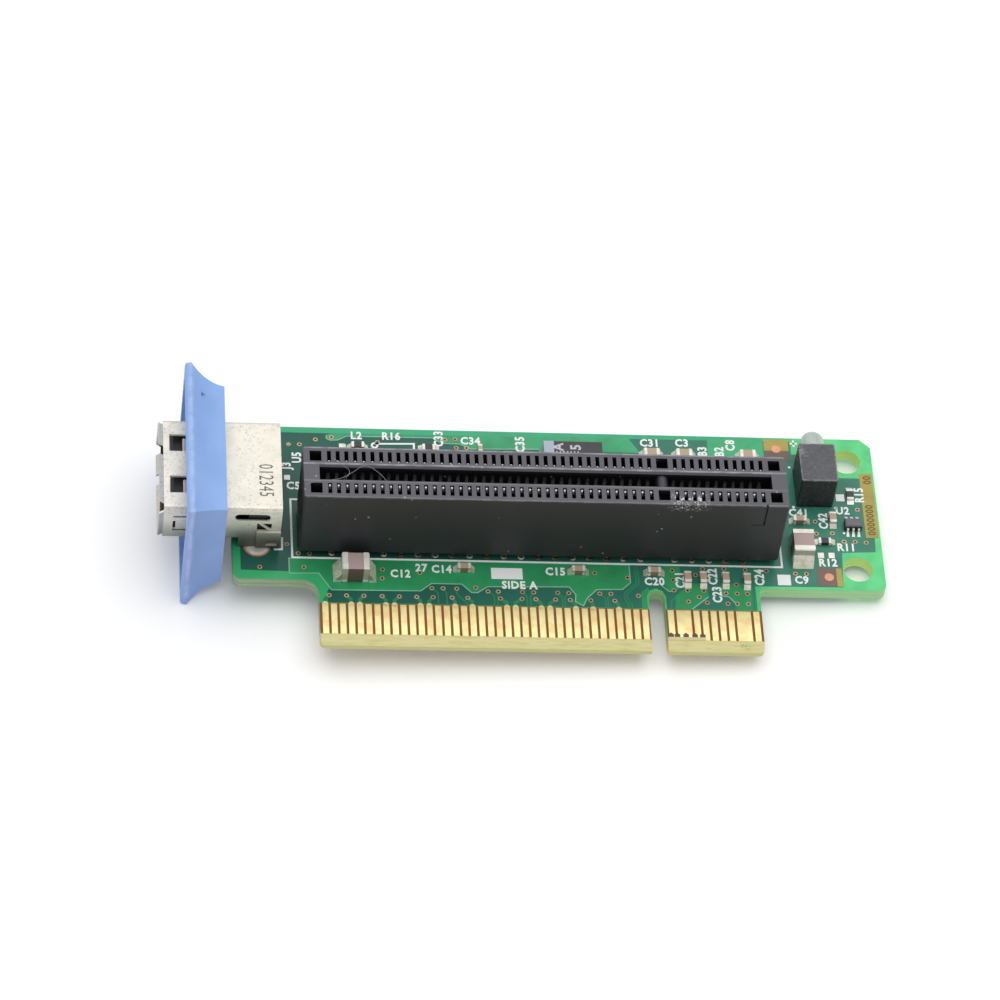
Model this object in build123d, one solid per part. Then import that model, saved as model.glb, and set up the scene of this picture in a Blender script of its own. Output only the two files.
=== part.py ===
from build123d import *
import math
import os

# A riser card for a low server: a board with an eight-lane edge connector, the slot that it
# feeds, a USB receptacle with a sliding lock collar, an indicator light and small chip parts.
# Millimetres. X = 0 is the middle of the key notch, Y = 0 the tip of the card edge, and
# Z = 0 the board's component side. +Z points out of the slot, -Y out of the card edge.

# Board
board_thickness = 1.57
board_past_slot_left = 7.55
board_past_slot_right = 12.75
board_depth = 31.65
shoulder_height = 9.0
shoulder_round_left = 2.0
shoulder_round_right = 0.7
board_corner_chamfer = 0.6
board_far_chamfer = 1.2
board_near_round = 1.0
bevel_length = 1.3
bevel_angle = 20.0
tip_round = 0.6

# Card edge
contact_pitch = 1.0
key_to_contact = 1.5
contacts_short = 11
contacts_long = 38
finger_width = 0.7
finger_tip_gap = 1.3
finger_length = 4.3
finger_thickness = 0.05
finger_to_edge = 0.65
notch_width = 1.9
notch_depth = 8.4
joined_fingers = (1, 8)

# Mounting holes
hole_diameter = 3.5
hole_from_right = 3.13
hole_from_shoulder = 3.12
hole_from_far = 3.43

# Slot
slot_from_shoulder = 6.95
slot_width = 7.3
slot_top = 11.25
slot_foot = 1.2
slot_end_margin = 2.95
slot_edge_break = 0.2
groove_width = 1.8
groove_floor = 3.0
groove_lead_in = 0.25
groove_end_margin = 1.15
key_rib_width = 1.55
key_rib_drop = 0.5
cavity_width = 0.46
cavity_inner = 1.6
cavity_outer = 3.08
window_top = 10.3
pocket_width = 1.35
pocket_length = 1.45
pocket_depth = 2.2
end_pocket_offset = 1.4
foot_length = 1.1
foot_width = 4.4
peg_diameter = 2.3
peg_length = 3.2
peg_clearance = 0.06
ell_width = 0.25
ell_depth = 0.25
ell_height = 3.7
ell_length = 1.45
ell_from_end = 2.7

# Slot contacts
strip_thickness = 0.2
strip_width = 0.4
tail_length = 2.7
tail_outer_row = 3.0
tail_inner_row = 1.0
tail_bend = 0.3
tail_hole_x = 0.62
tail_hole_y = 0.5
bump_offset = 0.78
bump_height = 8.2
strip_tip_offset = 1.82
strip_tip_height = 10.5

# USB receptacle
shell_width = 13.0
shell_height = 5.6
shell_top = 7.05
shell_depth_share = 0.49
shell_to_slot = 2.15
shell_length = 13.6
shell_wall = 0.3
shell_bend = 0.45
lip_reach = 0.55
lip_rise = 0.3
lip_edge_share = 0.7
lip_gap_low = 1.2
lip_gap_high = 2.7
lip_corner_gap = 0.35
skirt_length = 4.8
skirt_gap = 0.1
window_width = 2.45
window_length = 5.2
window_setback = 0.7
window_spread = 6.1
spring_gap = 0.25
spring_dip = 0.6
spring_tip = 1.6
spring_knee = 0.6
spring_tip_share = 0.55
spring_sheet_share = 0.8
side_spring_width = 1.9
side_spring_drop = 0.1
side_slit_width = 0.32
side_slit_gap = 0.25
side_slit_length = 5.0
side_slit_setback = 1.1
long_slot_length = 4.1
long_slot_height = 1.1
long_slot_from_rear = 3.35
long_slot_z = 5.45
latch_cut_from_rear = 2.8
latch_cut_length = 1.7
latch_cut_low = 3.1
latch_cut_high = 4.4
latch_tongue_width = 0.3
latch_tongue_end = 0.25
clip_low = 0.35
clip_sheet = 0.3
foot_cut_from_rear = 1.65
foot_cut_length = 1.3
foot_cut_low = 0.75
foot_cut_high = 1.5
leg_from_rear = 2.5
leg_width = 1.6
leg_reach = 1.15
leg_hole_length = 3.0
leg_hole_width = 1.1
tongue_thickness = 1.84
tongue_side_gap = 0.95
tongue_setback = 0.9
tongue_ceiling_gap = 0.85
block_length = 2.9
block_foot_step = 0.6
tongue_chamfer = 0.3
usb_blade_setback = 0.8
usb_tail_inset = 0.45
block_clearance = 0.05
usb_pin_pitches = (-3.5, -1.0, 1.0, 3.5)
usb_pin_width = 1.0
usb_pin_thickness = 0.25
usb_tail_width = 0.6
usb_hole_diameter = 0.95

# Lock collar
collar_to_board = 1.2
collar_length = 4.65
collar_width = 18.2
collar_height = 13.4
collar_top = 10.1
collar_flare = 1.95
collar_flare_mid = 0.56
collar_lip_length = 0.75
collar_lip_drop = 0.1
collar_rim_soft = 0.18
collar_wall = 1.2
collar_web = 1.2
collar_clearance = 0.15

# Indicator light
holder_to_slot = 3.1
holder_depth_share = 0.543
holder_width = 4.3
holder_depth = 5.55
holder_height = 5.0
holder_edge_break = 0.15
light_radius = 1.4
light_bore_clearance = 0.05
light_bore_depth = 3.35
light_lead_gap = 0.05
light_axis_height = 2.6
light_reach = 2.0
light_lead_spacing = 2.54
light_lead_width = 0.5
light_lead_y = 1.6
light_lead_hole = 0.75

# Chip parts
terminal_share = 0.22
terminal_soft = 0.12
body_width_share = 0.97
body_height_share = 0.96
solder_height = 0.6
solder_reach = 0.45
solder_toe = 0.08
tall_chip = 2.0
pad_thickness = 0.05
chip_seat = 0.05
power_chip_length = 3.2
power_chip_width = 2.45
small_chip_length = 1.6
small_chip_width = 0.8
flat_chip_height = 0.45
wide_chip_length = 2.0
wide_chip_width = 1.25
wide_chip_height = 0.95
tiny_chip_length = 1.0
tiny_chip_width = 0.5
hidden_hole_sides = 12
mark_sides = 24


# Moulded capacitor
tantalum_length = 7.3
tantalum_width = 4.3
tantalum_height = 2.8
tantalum_draft = 0.3
tantalum_seat = 0.3
tantalum_tab_share = 0.55
tantalum_sheet = 0.15
tantalum_sole = 1.3

# The six-lead chip
switch_from_right = 3.22
switch_depth_share = 0.4172
switch_length = 2.0
switch_width = 1.25
switch_height = 0.95
switch_seat = 0.1
switch_lead_pitch = 0.65
switch_lead_width = 0.25
switch_lead_reach = 0.45
switch_soft = 0.12
switch_lead_height = 0.5
switch_lead_thickness = 0.13
switch_lead_gap = 0.01
switch_lead_knee = 0.18
switch_lead_heel = 0.24

# Round sighting marks
sighting_diameter = 1.1

# How far a cut runs past a face, and how far joined forms run into each other
past = 0.1
bite = 0.05

# Places that follow from the values above
edge_left = -(key_to_contact + contact_pitch * (contacts_long - 1) + finger_to_edge)
edge_right = key_to_contact + contact_pitch * (contacts_short - 1) + finger_to_edge
slot_left = -(key_to_contact + contact_pitch * (contacts_long - 1) + slot_end_margin)
slot_right = key_to_contact + contact_pitch * (contacts_short - 1) + slot_end_margin
slot_centre_y = shoulder_height + slot_from_shoulder
board_left = slot_left - board_past_slot_left
board_right = slot_right + board_past_slot_right
peg_places = (0.0, slot_left + end_pocket_offset)
hole_x = board_right - hole_from_right
hole_places = (shoulder_height + hole_from_shoulder, board_depth - hole_from_far)
shell_rear = slot_left - shell_to_slot
shell_front = shell_rear - shell_length
skirt_start = shell_rear - skirt_length
leg_x = shell_rear - leg_from_rear
collar_back = board_left - collar_to_board
holder_x = slot_right + holder_to_slot
shell_bottom = shell_top - shell_height
shell_middle = (shell_top + shell_bottom) / 2

def depthwise(share):
    """Y at a share of the way from the shoulders to the far edge."""
    return shoulder_height + share * (board_depth - shoulder_height)


shell_centre_y = depthwise(shell_depth_share)
holder_y = depthwise(holder_depth_share)
switch_x = board_right - switch_from_right
switch_y = depthwise(switch_depth_share)
shell_near = shell_centre_y - shell_width / 2
shell_far = shell_centre_y + shell_width / 2
usb_tail_x = shell_rear - shell_wall - usb_tail_inset
underside = -board_thickness
tongue_top = shell_top - shell_wall - tongue_ceiling_gap
tongue_bottom = tongue_top - tongue_thickness
block_rear = usb_tail_x - usb_pin_thickness / 2
block_front = block_rear - block_length
tongue_width = shell_width - 2 * tongue_side_gap

# Sizes of the chip parts, as (length, width, height)
power_chip = (power_chip_length, power_chip_width, power_chip_width)
small_chip = (small_chip_length, small_chip_width, small_chip_width)
flat_chip = (small_chip_length, small_chip_width, flat_chip_height)
wide_chip = (wide_chip_length, wide_chip_width, wide_chip_height)
tiny_chip = (tiny_chip_length, tiny_chip_width, tiny_chip_width)

# Chip parts, as (X, share of the depth, size, direction of the length)
power_capacitors = [
    (slot_left + 6.47, 0.0433, power_chip, "x"),
    (slot_right + 3.13, 0.2437, power_chip, "y"),
]
chip_capacitors = [
    (-22.26, 0.0839, small_chip, "x"),
    (-8.95, 0.0817, small_chip, "x"),
    (-0.08, 0.0839, small_chip, "x"),
    (3.79, 0.0464, small_chip, "y"),
    (5.61, 0.0464, small_chip, "y"),
    (8.24, 0.0464, small_chip, "y"),
    (10.74, 0.0419, small_chip, "y"),
    (slot_right + 3.25, 0.4415, small_chip, "x"),
    (slot_right + 7.2, 0.4547, small_chip, "y"),
    (0.8, 0.8521, wide_chip, "x"),
    (4.66, 0.8521, wide_chip, "x"),
    (12.25, 0.8543, wide_chip, "x"),
    (-19.5, 0.872, tiny_chip, "y"),
]
resistors = [
    (slot_right + 5.99, 0.309, flat_chip, "x"),
    (board_right - 3.15, 0.6181, flat_chip, "y"),
    (slot_left + 15.85, 0.872, flat_chip, "x"),
    (slot_left + 7.45, 0.8653, small_chip, "x"),
]

# The moulded capacitor's place, bare pads as (X, share of the depth, width, depth) and marks
tantalum_place = (-8.85, depthwise(0.7616))
bare_pads = [
    (slot_right + 5.4, 0.2243, 0.72, 0.8), (slot_right + 6.67, 0.2252, 0.72, 0.8),
    (slot_left + 5.85, 0.8764, 0.5, 0.6),
]
sighting_marks = [(slot_right + 1.4, 0.9227), (slot_right + 6.1, 0.083)]


def block(x0, x1, y0, y1, z0, z1):
    """A box between two corners."""
    size = Box(abs(x1 - x0), abs(y1 - y0), abs(z1 - z0))
    return Pos((x0 + x1) / 2, (y0 + y1) / 2, (z0 + z1) / 2) * size


def plate(points, x0, x1):
    """A prism along X from points in (Y, Z)."""
    outline = Plane.YZ.offset(min(x0, x1)) * make_face(Polyline(*points, close=True))
    return extrude(outline, abs(x1 - x0))


def gather(solids):
    """Separate solids of one node."""
    flat = [piece for item in solids for piece in item.solids()]
    return Compound(children=flat)


def contact_places():
    """X of each contact, from the short side of the key to the long side."""
    short = [key_to_contact + contact_pitch * i for i in range(contacts_short)]
    long = [-key_to_contact - contact_pitch * i for i in range(contacts_long)]
    return short + long


def row_sign(row):
    """-1 for the near row of contacts, +1 for the far row."""
    return -1 if row == "near" else 1


def is_outer(x, row):
    """Tails step between an outer and an inner line of holes, the two rows in turn."""
    step = round((x - key_to_contact) / contact_pitch)
    return (step % 2 == 1) == (row == "near")


def board_outline():
    """Plan of the board with its shoulders, rounded corners and card edge."""
    sketch = Rectangle(
        board_right - board_left, board_depth - shoulder_height, align=(Align.MIN, Align.MIN)
    )
    body = Pos(board_left, shoulder_height) * sketch
    tab = Pos(edge_left, 0) * Rectangle(
        edge_right - edge_left, shoulder_height + past, align=(Align.MIN, Align.MIN)
    )
    outline = body + tab

    def corner(x, y):
        return outline.vertices().sort_by_distance((x, y))[0]

    far_right = corner(board_right, board_depth)
    outline = chamfer(far_right, board_far_chamfer)
    near_left = corner(board_left, shoulder_height)
    outline = chamfer(near_left, board_corner_chamfer)
    outline = fillet(corner(board_right, shoulder_height), board_near_round)
    outline = fillet(corner(edge_left, shoulder_height), shoulder_round_left)
    outline = fillet(corner(edge_right, shoulder_height), shoulder_round_right)
    outline = fillet(corner(edge_left, 0), tip_round)
    outline = fillet(corner(edge_right, 0), tip_round)
    notch_straight = notch_depth - notch_width / 2
    notch = Pos(0, notch_straight / 2) * Rectangle(notch_width, notch_straight)
    notch += Pos(0, notch_straight) * Circle(notch_width / 2)
    return outline - notch


def tail_holes():
    """A small plated hole for each contact tail."""
    cuts = []
    for row in ("near", "far"):
        for x in contact_places():
            offset = tail_outer_row if is_outer(x, row) else tail_inner_row
            y = slot_centre_y + row_sign(row) * offset
            cuts.append(Pos(x, y) * Rectangle(tail_hole_x, tail_hole_y))
    return cuts


def hidden_hole(diameter):
    """A hole that a part hides, with few sides."""
    return RegularPolygon(diameter / 2, hidden_hole_sides)


def make_board():
    """The board: outline, holes and the bevelled card edge."""
    sketch = board_outline()
    holes = [Pos(hole_x, y) * Circle(hole_diameter / 2) for y in hole_places]
    peg_hole = peg_diameter / 2 + peg_clearance
    holes += [Pos(x, slot_centre_y) * Circle(peg_hole) for x in peg_places]
    for offset in usb_pin_pitches:
        holes.append(Pos(usb_tail_x, shell_centre_y + offset) * hidden_hole(usb_hole_diameter))
    for y in (shell_near + shell_wall / 2, shell_far - shell_wall / 2):
        holes.append(Pos(leg_x, y) * SlotOverall(leg_hole_length, leg_hole_width))
    for x in light_lead_places():
        holes.append(Pos(x, holder_y + light_lead_y) * hidden_hole(light_lead_hole))
    sketch = sketch - (holes + tail_holes())
    board = extrude(sketch, -board_thickness)
    drop = bevel_length * math.tan(math.radians(bevel_angle))
    wedge_top = [(-past, past), (-past, -drop), (0, -drop), (bevel_length, 0), (bevel_length, past)]
    wedge_low = [(y, underside - z) for y, z in wedge_top]
    span = (edge_left - 1, edge_right + 1)
    return board - plate(wedge_top, *span) - plate(wedge_low, *span)


def finger(x, width, low):
    """One gold finger, on the component side or the solder side."""
    inner = finger_tip_gap + finger_length
    return block(x - width / 2, x + width / 2, finger_tip_gap, inner, low, low + finger_thickness)


def make_fingers_top():
    """Fingers of the component side: two pairs on the short side are joined."""
    solids = []
    places = contact_places()
    skip = [place + 1 for place in joined_fingers]
    for index, x in enumerate(places):
        if index in joined_fingers:
            solids.append(finger(x + contact_pitch / 2, finger_width + contact_pitch, 0))
        elif index not in skip:
            solids.append(finger(x, finger_width, 0))
    return gather(solids)


def make_fingers_bottom():
    """Fingers of the solder side."""
    low = underside - finger_thickness
    return gather([finger(x, finger_width, low) for x in contact_places()])


def cavity(x, row):
    """The room of one contact: open at the top, at the foot and into the groove."""
    sign = row_sign(row)
    wall = groove_width / 2
    offsets = [
        (cavity_outer, slot_foot - past),
        (cavity_outer, slot_top + past),
        (cavity_inner, slot_top + past),
        (cavity_inner, window_top),
        (wall, window_top),
        (wall, slot_foot - past),
    ]
    points = [(slot_centre_y + sign * d, z) for d, z in offsets]
    return plate(points, x - cavity_width / 2, x + cavity_width / 2)


def pocket(x, row):
    """A square blind pocket in the top face."""
    middle = slot_centre_y + row_sign(row) * (cavity_inner + cavity_outer) / 2
    half = pocket_length / 2
    return block(
        x - pocket_width / 2, x + pocket_width / 2, middle - half, middle + half,
        slot_top - pocket_depth, slot_top + past,
    )


def groove():
    """The groove that takes a card, with a lead-in along its mouth."""
    half = groove_width / 2
    over = half + groove_lead_in + past
    points = [
        (slot_centre_y - half, groove_floor),
        (slot_centre_y - half, slot_top - groove_lead_in),
        (slot_centre_y - over, slot_top + past),
        (slot_centre_y + over, slot_top + past),
        (slot_centre_y + half, slot_top - groove_lead_in),
        (slot_centre_y + half, groove_floor),
    ]
    reach = slot_end_margin - groove_end_margin
    return plate(points, slot_left + reach, slot_right - reach)


def key_rib():
    """The rib that fills the groove at the key, rounded across its top."""
    half = key_rib_width / 2
    low = slot_top - key_rib_drop - half
    across = groove_width / 2 + bite
    rib = block(
        -half, half, slot_centre_y - across, slot_centre_y + across, groove_floor - past, low
    )
    crown = Pos(0, slot_centre_y, low) * Rot(90, 0, 0) * Cylinder(half, 2 * across)
    return rib + crown


def ell_recess():
    """The narrow L that is cut in the near wall by the short end."""
    near = slot_centre_y - slot_width / 2
    x = slot_right - ell_from_end
    low = slot_top - ell_height
    upright = block(x, x + ell_width, near - past, near + ell_depth, low, slot_top + past)
    foot = block(
        x + ell_width - ell_length, x + ell_width, near - past, near + ell_depth, low, low + ell_width
    )
    return upright + foot


def slot_feet():
    """Feet at both ends and the key, and two pegs that go through the board."""
    solids = []
    for x0 in (slot_left, slot_right - foot_length, -foot_length / 2):
        solids.append(block(
            x0, x0 + foot_length, slot_centre_y - foot_width / 2, slot_centre_y + foot_width / 2,
            0, slot_foot + bite,
        ))
    length = peg_length + slot_foot + bite
    for x in peg_places:
        peg = extrude(RegularPolygon(peg_diameter / 2, hidden_hole_sides), length)
        solids.append(Pos(x, slot_centre_y, -peg_length) * peg)
    return solids


def make_slot_housing():
    """The slot: one moulding with a groove, a cavity for each contact, pockets, feet and pegs."""
    near = slot_centre_y - slot_width / 2
    far = slot_centre_y + slot_width / 2
    body = block(slot_left, slot_right, near, far, slot_foot, slot_top)
    uprights = body.edges().filter_by(Axis.Z)
    body = chamfer(uprights, slot_edge_break)
    body = body - groove() + key_rib()
    cuts = [cavity(x, row) for row in ("near", "far") for x in contact_places()]
    for row in ("near", "far"):
        for x in (slot_left + end_pocket_offset, 0.0, slot_right - end_pocket_offset):
            cuts.append(pocket(x, row))
    cuts.append(ell_recess())
    body = body - cuts
    return body + slot_feet()


def strip(points, thickness):
    """The closed outline of a bent strip that follows points."""
    sides = ([], [])
    for i, here in enumerate(points):
        before = points[max(i - 1, 0)]
        after = points[min(i + 1, len(points) - 1)]
        a = Vector(here[0] - before[0], here[1] - before[1])
        b = Vector(after[0] - here[0], after[1] - here[1])
        a = a.normalized() if a.length else b.normalized()
        b = b.normalized() if b.length else a
        middle = (a + b).normalized()
        reach = thickness / 2 / max(middle.dot(a), 0.5)
        normal = Vector(-middle.Y, middle.X) * reach
        sides[0].append((here[0] + normal.X, here[1] + normal.Y))
        sides[1].append((here[0] - normal.X, here[1] - normal.Y))
    return sides[0] + sides[1][::-1]


def slot_contact(x, row):
    """One contact: a tail through the board, a stem and a bowed spring that ends in a tip."""
    stem = cavity_outer - strip_thickness
    if is_outer(x, row):
        root = [(tail_outer_row, -tail_length), (stem, slot_foot)]
    else:
        root = [(tail_inner_row, -tail_length), (tail_inner_row, tail_bend), (stem, slot_foot)]
    path = root + [(bump_offset, bump_height), (strip_tip_offset, strip_tip_height)]
    sign = row_sign(row)
    points = [(slot_centre_y + sign * d, z) for d, z in strip(path, strip_thickness)]
    return plate(points, x - strip_width / 2, x + strip_width / 2)


def make_slot_contacts(row):
    """All contacts of one row."""
    return gather([slot_contact(x, row) for x in contact_places()])


def tube(x0, x1, inset):
    """A rounded rectangular bar along the receptacle, inset from the shell's outside."""
    bend = max(shell_bend - inset, shell_wall / 2)
    section = RectangleRounded(shell_width - 2 * inset, shell_height - 2 * inset, bend)
    placed = Plane((x0, shell_centre_y, shell_middle), x_dir=(0, 1, 0), z_dir=(1, 0, 0)) * section
    return extrude(placed, x1 - x0)


def shell_lips():
    """The flared lips round the mouth, cut apart at the corners and on top."""
    front = shell_front - lip_reach
    root = shell_front + bite
    edge = lip_rise - shell_wall * lip_edge_share
    section = [
        (root, 0), (root, -shell_wall), (shell_front, -shell_wall), (front, edge), (front, lip_rise),
        (shell_front, 0),
    ]
    face = make_face(Polyline(*section, close=True))
    flipped = make_face(Polyline(*[(x, -z) for x, z in section], close=True))
    solids = []
    across = shell_width / 2 - shell_bend - lip_corner_gap
    for low, high in ((-across, lip_gap_low), (lip_gap_high, across)):
        top = Plane((0, shell_centre_y + low, shell_top), x_dir=(1, 0, 0), z_dir=(0, 1, 0))
        bottom = Plane((0, shell_centre_y + high, shell_bottom), x_dir=(1, 0, 0), z_dir=(0, -1, 0))
        solids.append(extrude(top * flipped, high - low))
        solids.append(extrude(bottom * flipped, high - low))
    up = shell_height / 2 - shell_bend - lip_corner_gap
    far = Plane((0, shell_far, shell_middle - up), x_dir=(1, 0, 0), z_dir=(0, 0, 1))
    solids.append(extrude(far * face, 2 * up))
    near = Plane((0, shell_near, shell_middle + up), x_dir=(1, 0, 0), z_dir=(0, 0, -1))
    solids.append(extrude(near * face, 2 * up))
    return solids


def spring_window(offset, top):
    """A window in the top or bottom wall for one of the springs that hold a plug."""
    x0 = shell_front + window_setback
    y = shell_centre_y + offset
    z = shell_top if top else shell_bottom
    through = shell_wall + past
    return block(
        x0, x0 + window_length, y - window_width / 2, y + window_width / 2, z - through, z + through
    )


def spring(offset, top):
    """A spring that leans into the mouth, its root in the window's inner end."""
    x_root = shell_front + window_setback + window_length
    x_tip = shell_front + window_setback + spring_tip
    z = (shell_top - shell_wall / 2) if top else (shell_bottom + shell_wall / 2)
    dip = -spring_dip if top else spring_dip
    path = [(x_root + bite, z), (x_tip + spring_knee, z + dip), (x_tip, z + dip * spring_tip_share)]
    points = strip(path, shell_wall * spring_sheet_share)
    half = window_width / 2 - spring_gap
    plane = Plane((0, shell_centre_y + offset + half, 0), x_dir=(1, 0, 0), z_dir=(0, -1, 0))
    return extrude(plane * make_face(Polyline(*points, close=True)), 2 * half)


def side_slits(y):
    """Two slits and a gap that free the spring of a side wall."""
    middle = shell_middle - side_spring_drop
    half = side_spring_width / 2
    x0 = shell_front + side_slit_setback
    near = y - shell_wall - past
    far = y + shell_wall + past
    solids = [block(x0, x0 + side_slit_width, near, far, middle - half, middle + half)]
    for side in (-1, 1):
        z = middle + side * (half + side_slit_gap)
        low = z - side_slit_width / 2
        solids.append(block(x0, x0 + side_slit_length, near, far, low, low + side_slit_width))
    return solids


def skirt(y):
    """The side wall's rear part, that reaches down to the board and ends in a tapered leg."""
    half = leg_width / 2
    wall = block(skirt_start, shell_rear, y, y + shell_wall, skirt_gap, shell_middle)
    leg = [
        (leg_x - half, shell_middle), (leg_x + half, shell_middle), (leg_x + half, underside),
        (leg_x + half / 2, underside - leg_reach), (leg_x - half / 2, underside - leg_reach),
        (leg_x - half, underside),
    ]
    plane = Plane((0, y + shell_wall, 0), x_dir=(1, 0, 0), z_dir=(0, -1, 0))
    return wall + extrude(plane * make_face(Polyline(*leg, close=True)), shell_wall)


def side_cuts(y):
    """The long slot, the latch cut-out and the low cut in the rear part of a side wall."""
    near = y - shell_wall - clip_sheet
    far = y + shell_wall + clip_sheet
    long_slot = SlotOverall(long_slot_length, long_slot_height)
    place = (shell_rear - long_slot_from_rear, far, long_slot_z)
    plane = Plane(place, x_dir=(1, 0, 0), z_dir=(0, -1, 0))
    latch = shell_rear - latch_cut_from_rear
    foot = shell_rear - foot_cut_from_rear
    return [
        extrude(plane * long_slot, far - near),
        block(latch, latch + latch_cut_length, near, far, latch_cut_low, latch_cut_high),
        block(foot, foot + foot_cut_length, near, far, foot_cut_low, foot_cut_high),
    ]


def clip(side):
    """The rear wall's end, folded round the corner and flat against a side wall."""
    wall = shell_near if side < 0 else shell_far
    x0 = shell_rear - latch_cut_from_rear
    return block(x0, shell_rear, wall, wall + side * clip_sheet, clip_low, latch_cut_low)


def latch_tongue(y):
    """The narrow tongue that crosses the latch cut-out of a side wall."""
    x0 = shell_rear - latch_cut_from_rear
    x1 = x0 + latch_cut_length
    path = [
        (x0 + latch_tongue_width, latch_cut_high + bite),
        (x1 - latch_tongue_width, latch_cut_low + latch_tongue_end),
        (x1 + bite, latch_cut_low + latch_tongue_end),
    ]
    outline = make_face(Polyline(*strip(path, latch_tongue_width), close=True))
    return extrude(Plane((0, y + shell_wall, 0), x_dir=(1, 0, 0), z_dir=(0, -1, 0)) * outline, shell_wall)


def make_usb_shell():
    """The shell: folded sheet, open at the mouth, with windows, springs, lips, skirts and legs."""
    body = tube(shell_front, shell_rear, 0) - tube(shell_front - 1, shell_rear - shell_wall, shell_wall)
    floor_cut = block(
        skirt_start, shell_rear - shell_wall, shell_near + shell_wall, shell_far - shell_wall,
        shell_bottom - past, shell_bottom + shell_wall + past,
    )
    body = body - floor_cut
    body = body + [skirt(shell_near), skirt(shell_far - shell_wall)]
    rear = block(
        shell_rear - shell_wall, shell_rear, shell_near, shell_far, skirt_gap, shell_middle
    )
    body = body + [rear, clip(-1), clip(1)]
    cuts = []
    for offset in (-window_spread / 2, window_spread / 2):
        cuts += [spring_window(offset, True), spring_window(offset, False)]
    for y in (shell_near, shell_far):
        cuts += side_slits(y) + side_cuts(y)
    body = body - cuts
    springs = []
    for offset in (-window_spread / 2, window_spread / 2):
        springs += [spring(offset, True), spring(offset, False)]
    tongues = [latch_tongue(shell_near), latch_tongue(shell_far - shell_wall)]
    return body + (springs + tongues + shell_lips())


def usb_contact(offset):
    """One contact: a blade along the tongue, through the block and down into the board."""
    y = shell_centre_y + offset
    blade_top = tongue_bottom
    blade = block(
        shell_front + tongue_setback + usb_blade_setback, usb_tail_x + usb_pin_thickness / 2,
        y - usb_pin_width / 2, y + usb_pin_width / 2, blade_top - usb_pin_thickness, blade_top,
    )
    tail = block(
        usb_tail_x - usb_pin_thickness / 2, usb_tail_x + usb_pin_thickness / 2,
        y - usb_tail_width / 2, y + usb_tail_width / 2, -tail_length, blade_top,
    )
    return blade + tail


def make_usb_contacts():
    """The four contacts."""
    return gather([usb_contact(offset) for offset in usb_pin_pitches])


def make_usb_insulator():
    """The block behind the mouth and the tongue that carries the contacts."""
    inset = shell_wall + block_clearance
    body = tube(block_front, block_rear, inset)
    front = shell_front + tongue_setback
    tongue = block(
        front, block_front + bite, shell_centre_y - tongue_width / 2, shell_centre_y + tongue_width / 2,
        tongue_bottom, tongue_top,
    )
    nose = tongue.faces().sort_by(Axis.X)[0].edges().filter_by(Axis.Y)
    tongue = chamfer(nose, tongue_chamfer)
    foot = block(
        block_front + block_foot_step, block_rear, shell_near + inset, shell_far - inset,
        0, shell_middle,
    )
    body = body + tongue + foot
    return body - [usb_contact(offset) for offset in usb_pin_pitches]


def flare_outline(half, inset, drop, over):
    """A funnel seen from the side: hollow curves that widen to a ridge, then a lip to the front."""
    ridge = collar_back - collar_length + collar_lip_length
    front = collar_back - collar_length - over
    middle = (collar_back + ridge) / 2
    back_half = half - inset
    ridge_half = back_half + collar_flare
    curve = ThreePointArc(
        (collar_back, back_half), (middle, back_half + collar_flare_mid), (ridge, ridge_half)
    )
    lip = Line((ridge, ridge_half), (front, ridge_half - drop))
    front_line = Line((front, ridge_half - drop), (front, drop - ridge_half))
    back_line = Line((collar_back, back_half), (collar_back, -back_half))
    lower = [mirror(edge, Plane.XZ) for edge in (curve, lip)]
    return make_face([curve, lip, front_line, *lower, back_line])


def flared_block(inset, drop, over):
    """A four-sided funnel: its outline in plan drawn through its outline from the side."""
    middle = collar_top - collar_height / 2
    span = 2 * collar_width
    plan = flare_outline(collar_width / 2, inset, drop, over)
    side = flare_outline(collar_height / 2, inset, drop, over)
    plan_plane = Plane((0, shell_centre_y, middle - span / 2), x_dir=(1, 0, 0), z_dir=(0, 0, 1))
    side_plane = Plane((0, shell_centre_y + span / 2, middle), x_dir=(1, 0, 0), z_dir=(0, -1, 0))
    return extrude(plan_plane * plan, span) & extrude(side_plane * side, span)


def make_lock_collar():
    """The collar: a four-sided funnel with a web at its back that slides on the shell."""
    outer = flared_block(0, collar_lip_drop, 0)
    outer = chamfer(outer.faces().sort_by(Axis.X)[0].edges(), collar_rim_soft)
    room = flared_block(collar_wall, 0, past)
    web_front = collar_back - collar_web
    span = 2 * collar_width
    web = Pos(web_front + span / 2, shell_centre_y, shell_middle) * Box(span, span, span)
    gap = collar_clearance
    way = block(
        collar_back - collar_length - past, collar_back + past, shell_near - gap, shell_far + gap,
        shell_bottom - gap, shell_top + gap,
    )
    return outer - (room - web) - way


def light_axis():
    """Where the light sits in its holder: X, Y of the holder's open face, Z."""
    return holder_x + holder_width / 2, holder_y + holder_depth, light_axis_height


def light_lead_places():
    """X of the two leads."""
    middle = holder_x + holder_width / 2
    return [middle - light_lead_spacing / 2, middle + light_lead_spacing / 2]


def make_led_holder():
    """The holder: a square block with a round bore for the light and a room for its leads."""
    body = block(
        holder_x, holder_x + holder_width, holder_y, holder_y + holder_depth, 0, holder_height
    )
    body = chamfer(body.edges().filter_by(Axis.Z), holder_edge_break)
    x, y, z = light_axis()
    bore_radius = light_radius + light_bore_clearance
    bore = Cylinder(bore_radius, light_bore_depth + past)
    bore = Pos(x, y - (light_bore_depth - past) / 2, z) * Rot(90, 0, 0) * bore
    half_room = light_lead_spacing / 2 + light_lead_width
    room = block(
        x - half_room, x + half_room, holder_y + light_lead_y - light_lead_width,
        y - light_bore_depth + 2 * light_lead_gap, -past, z + light_lead_width,
    )
    return body - bore - room


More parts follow.
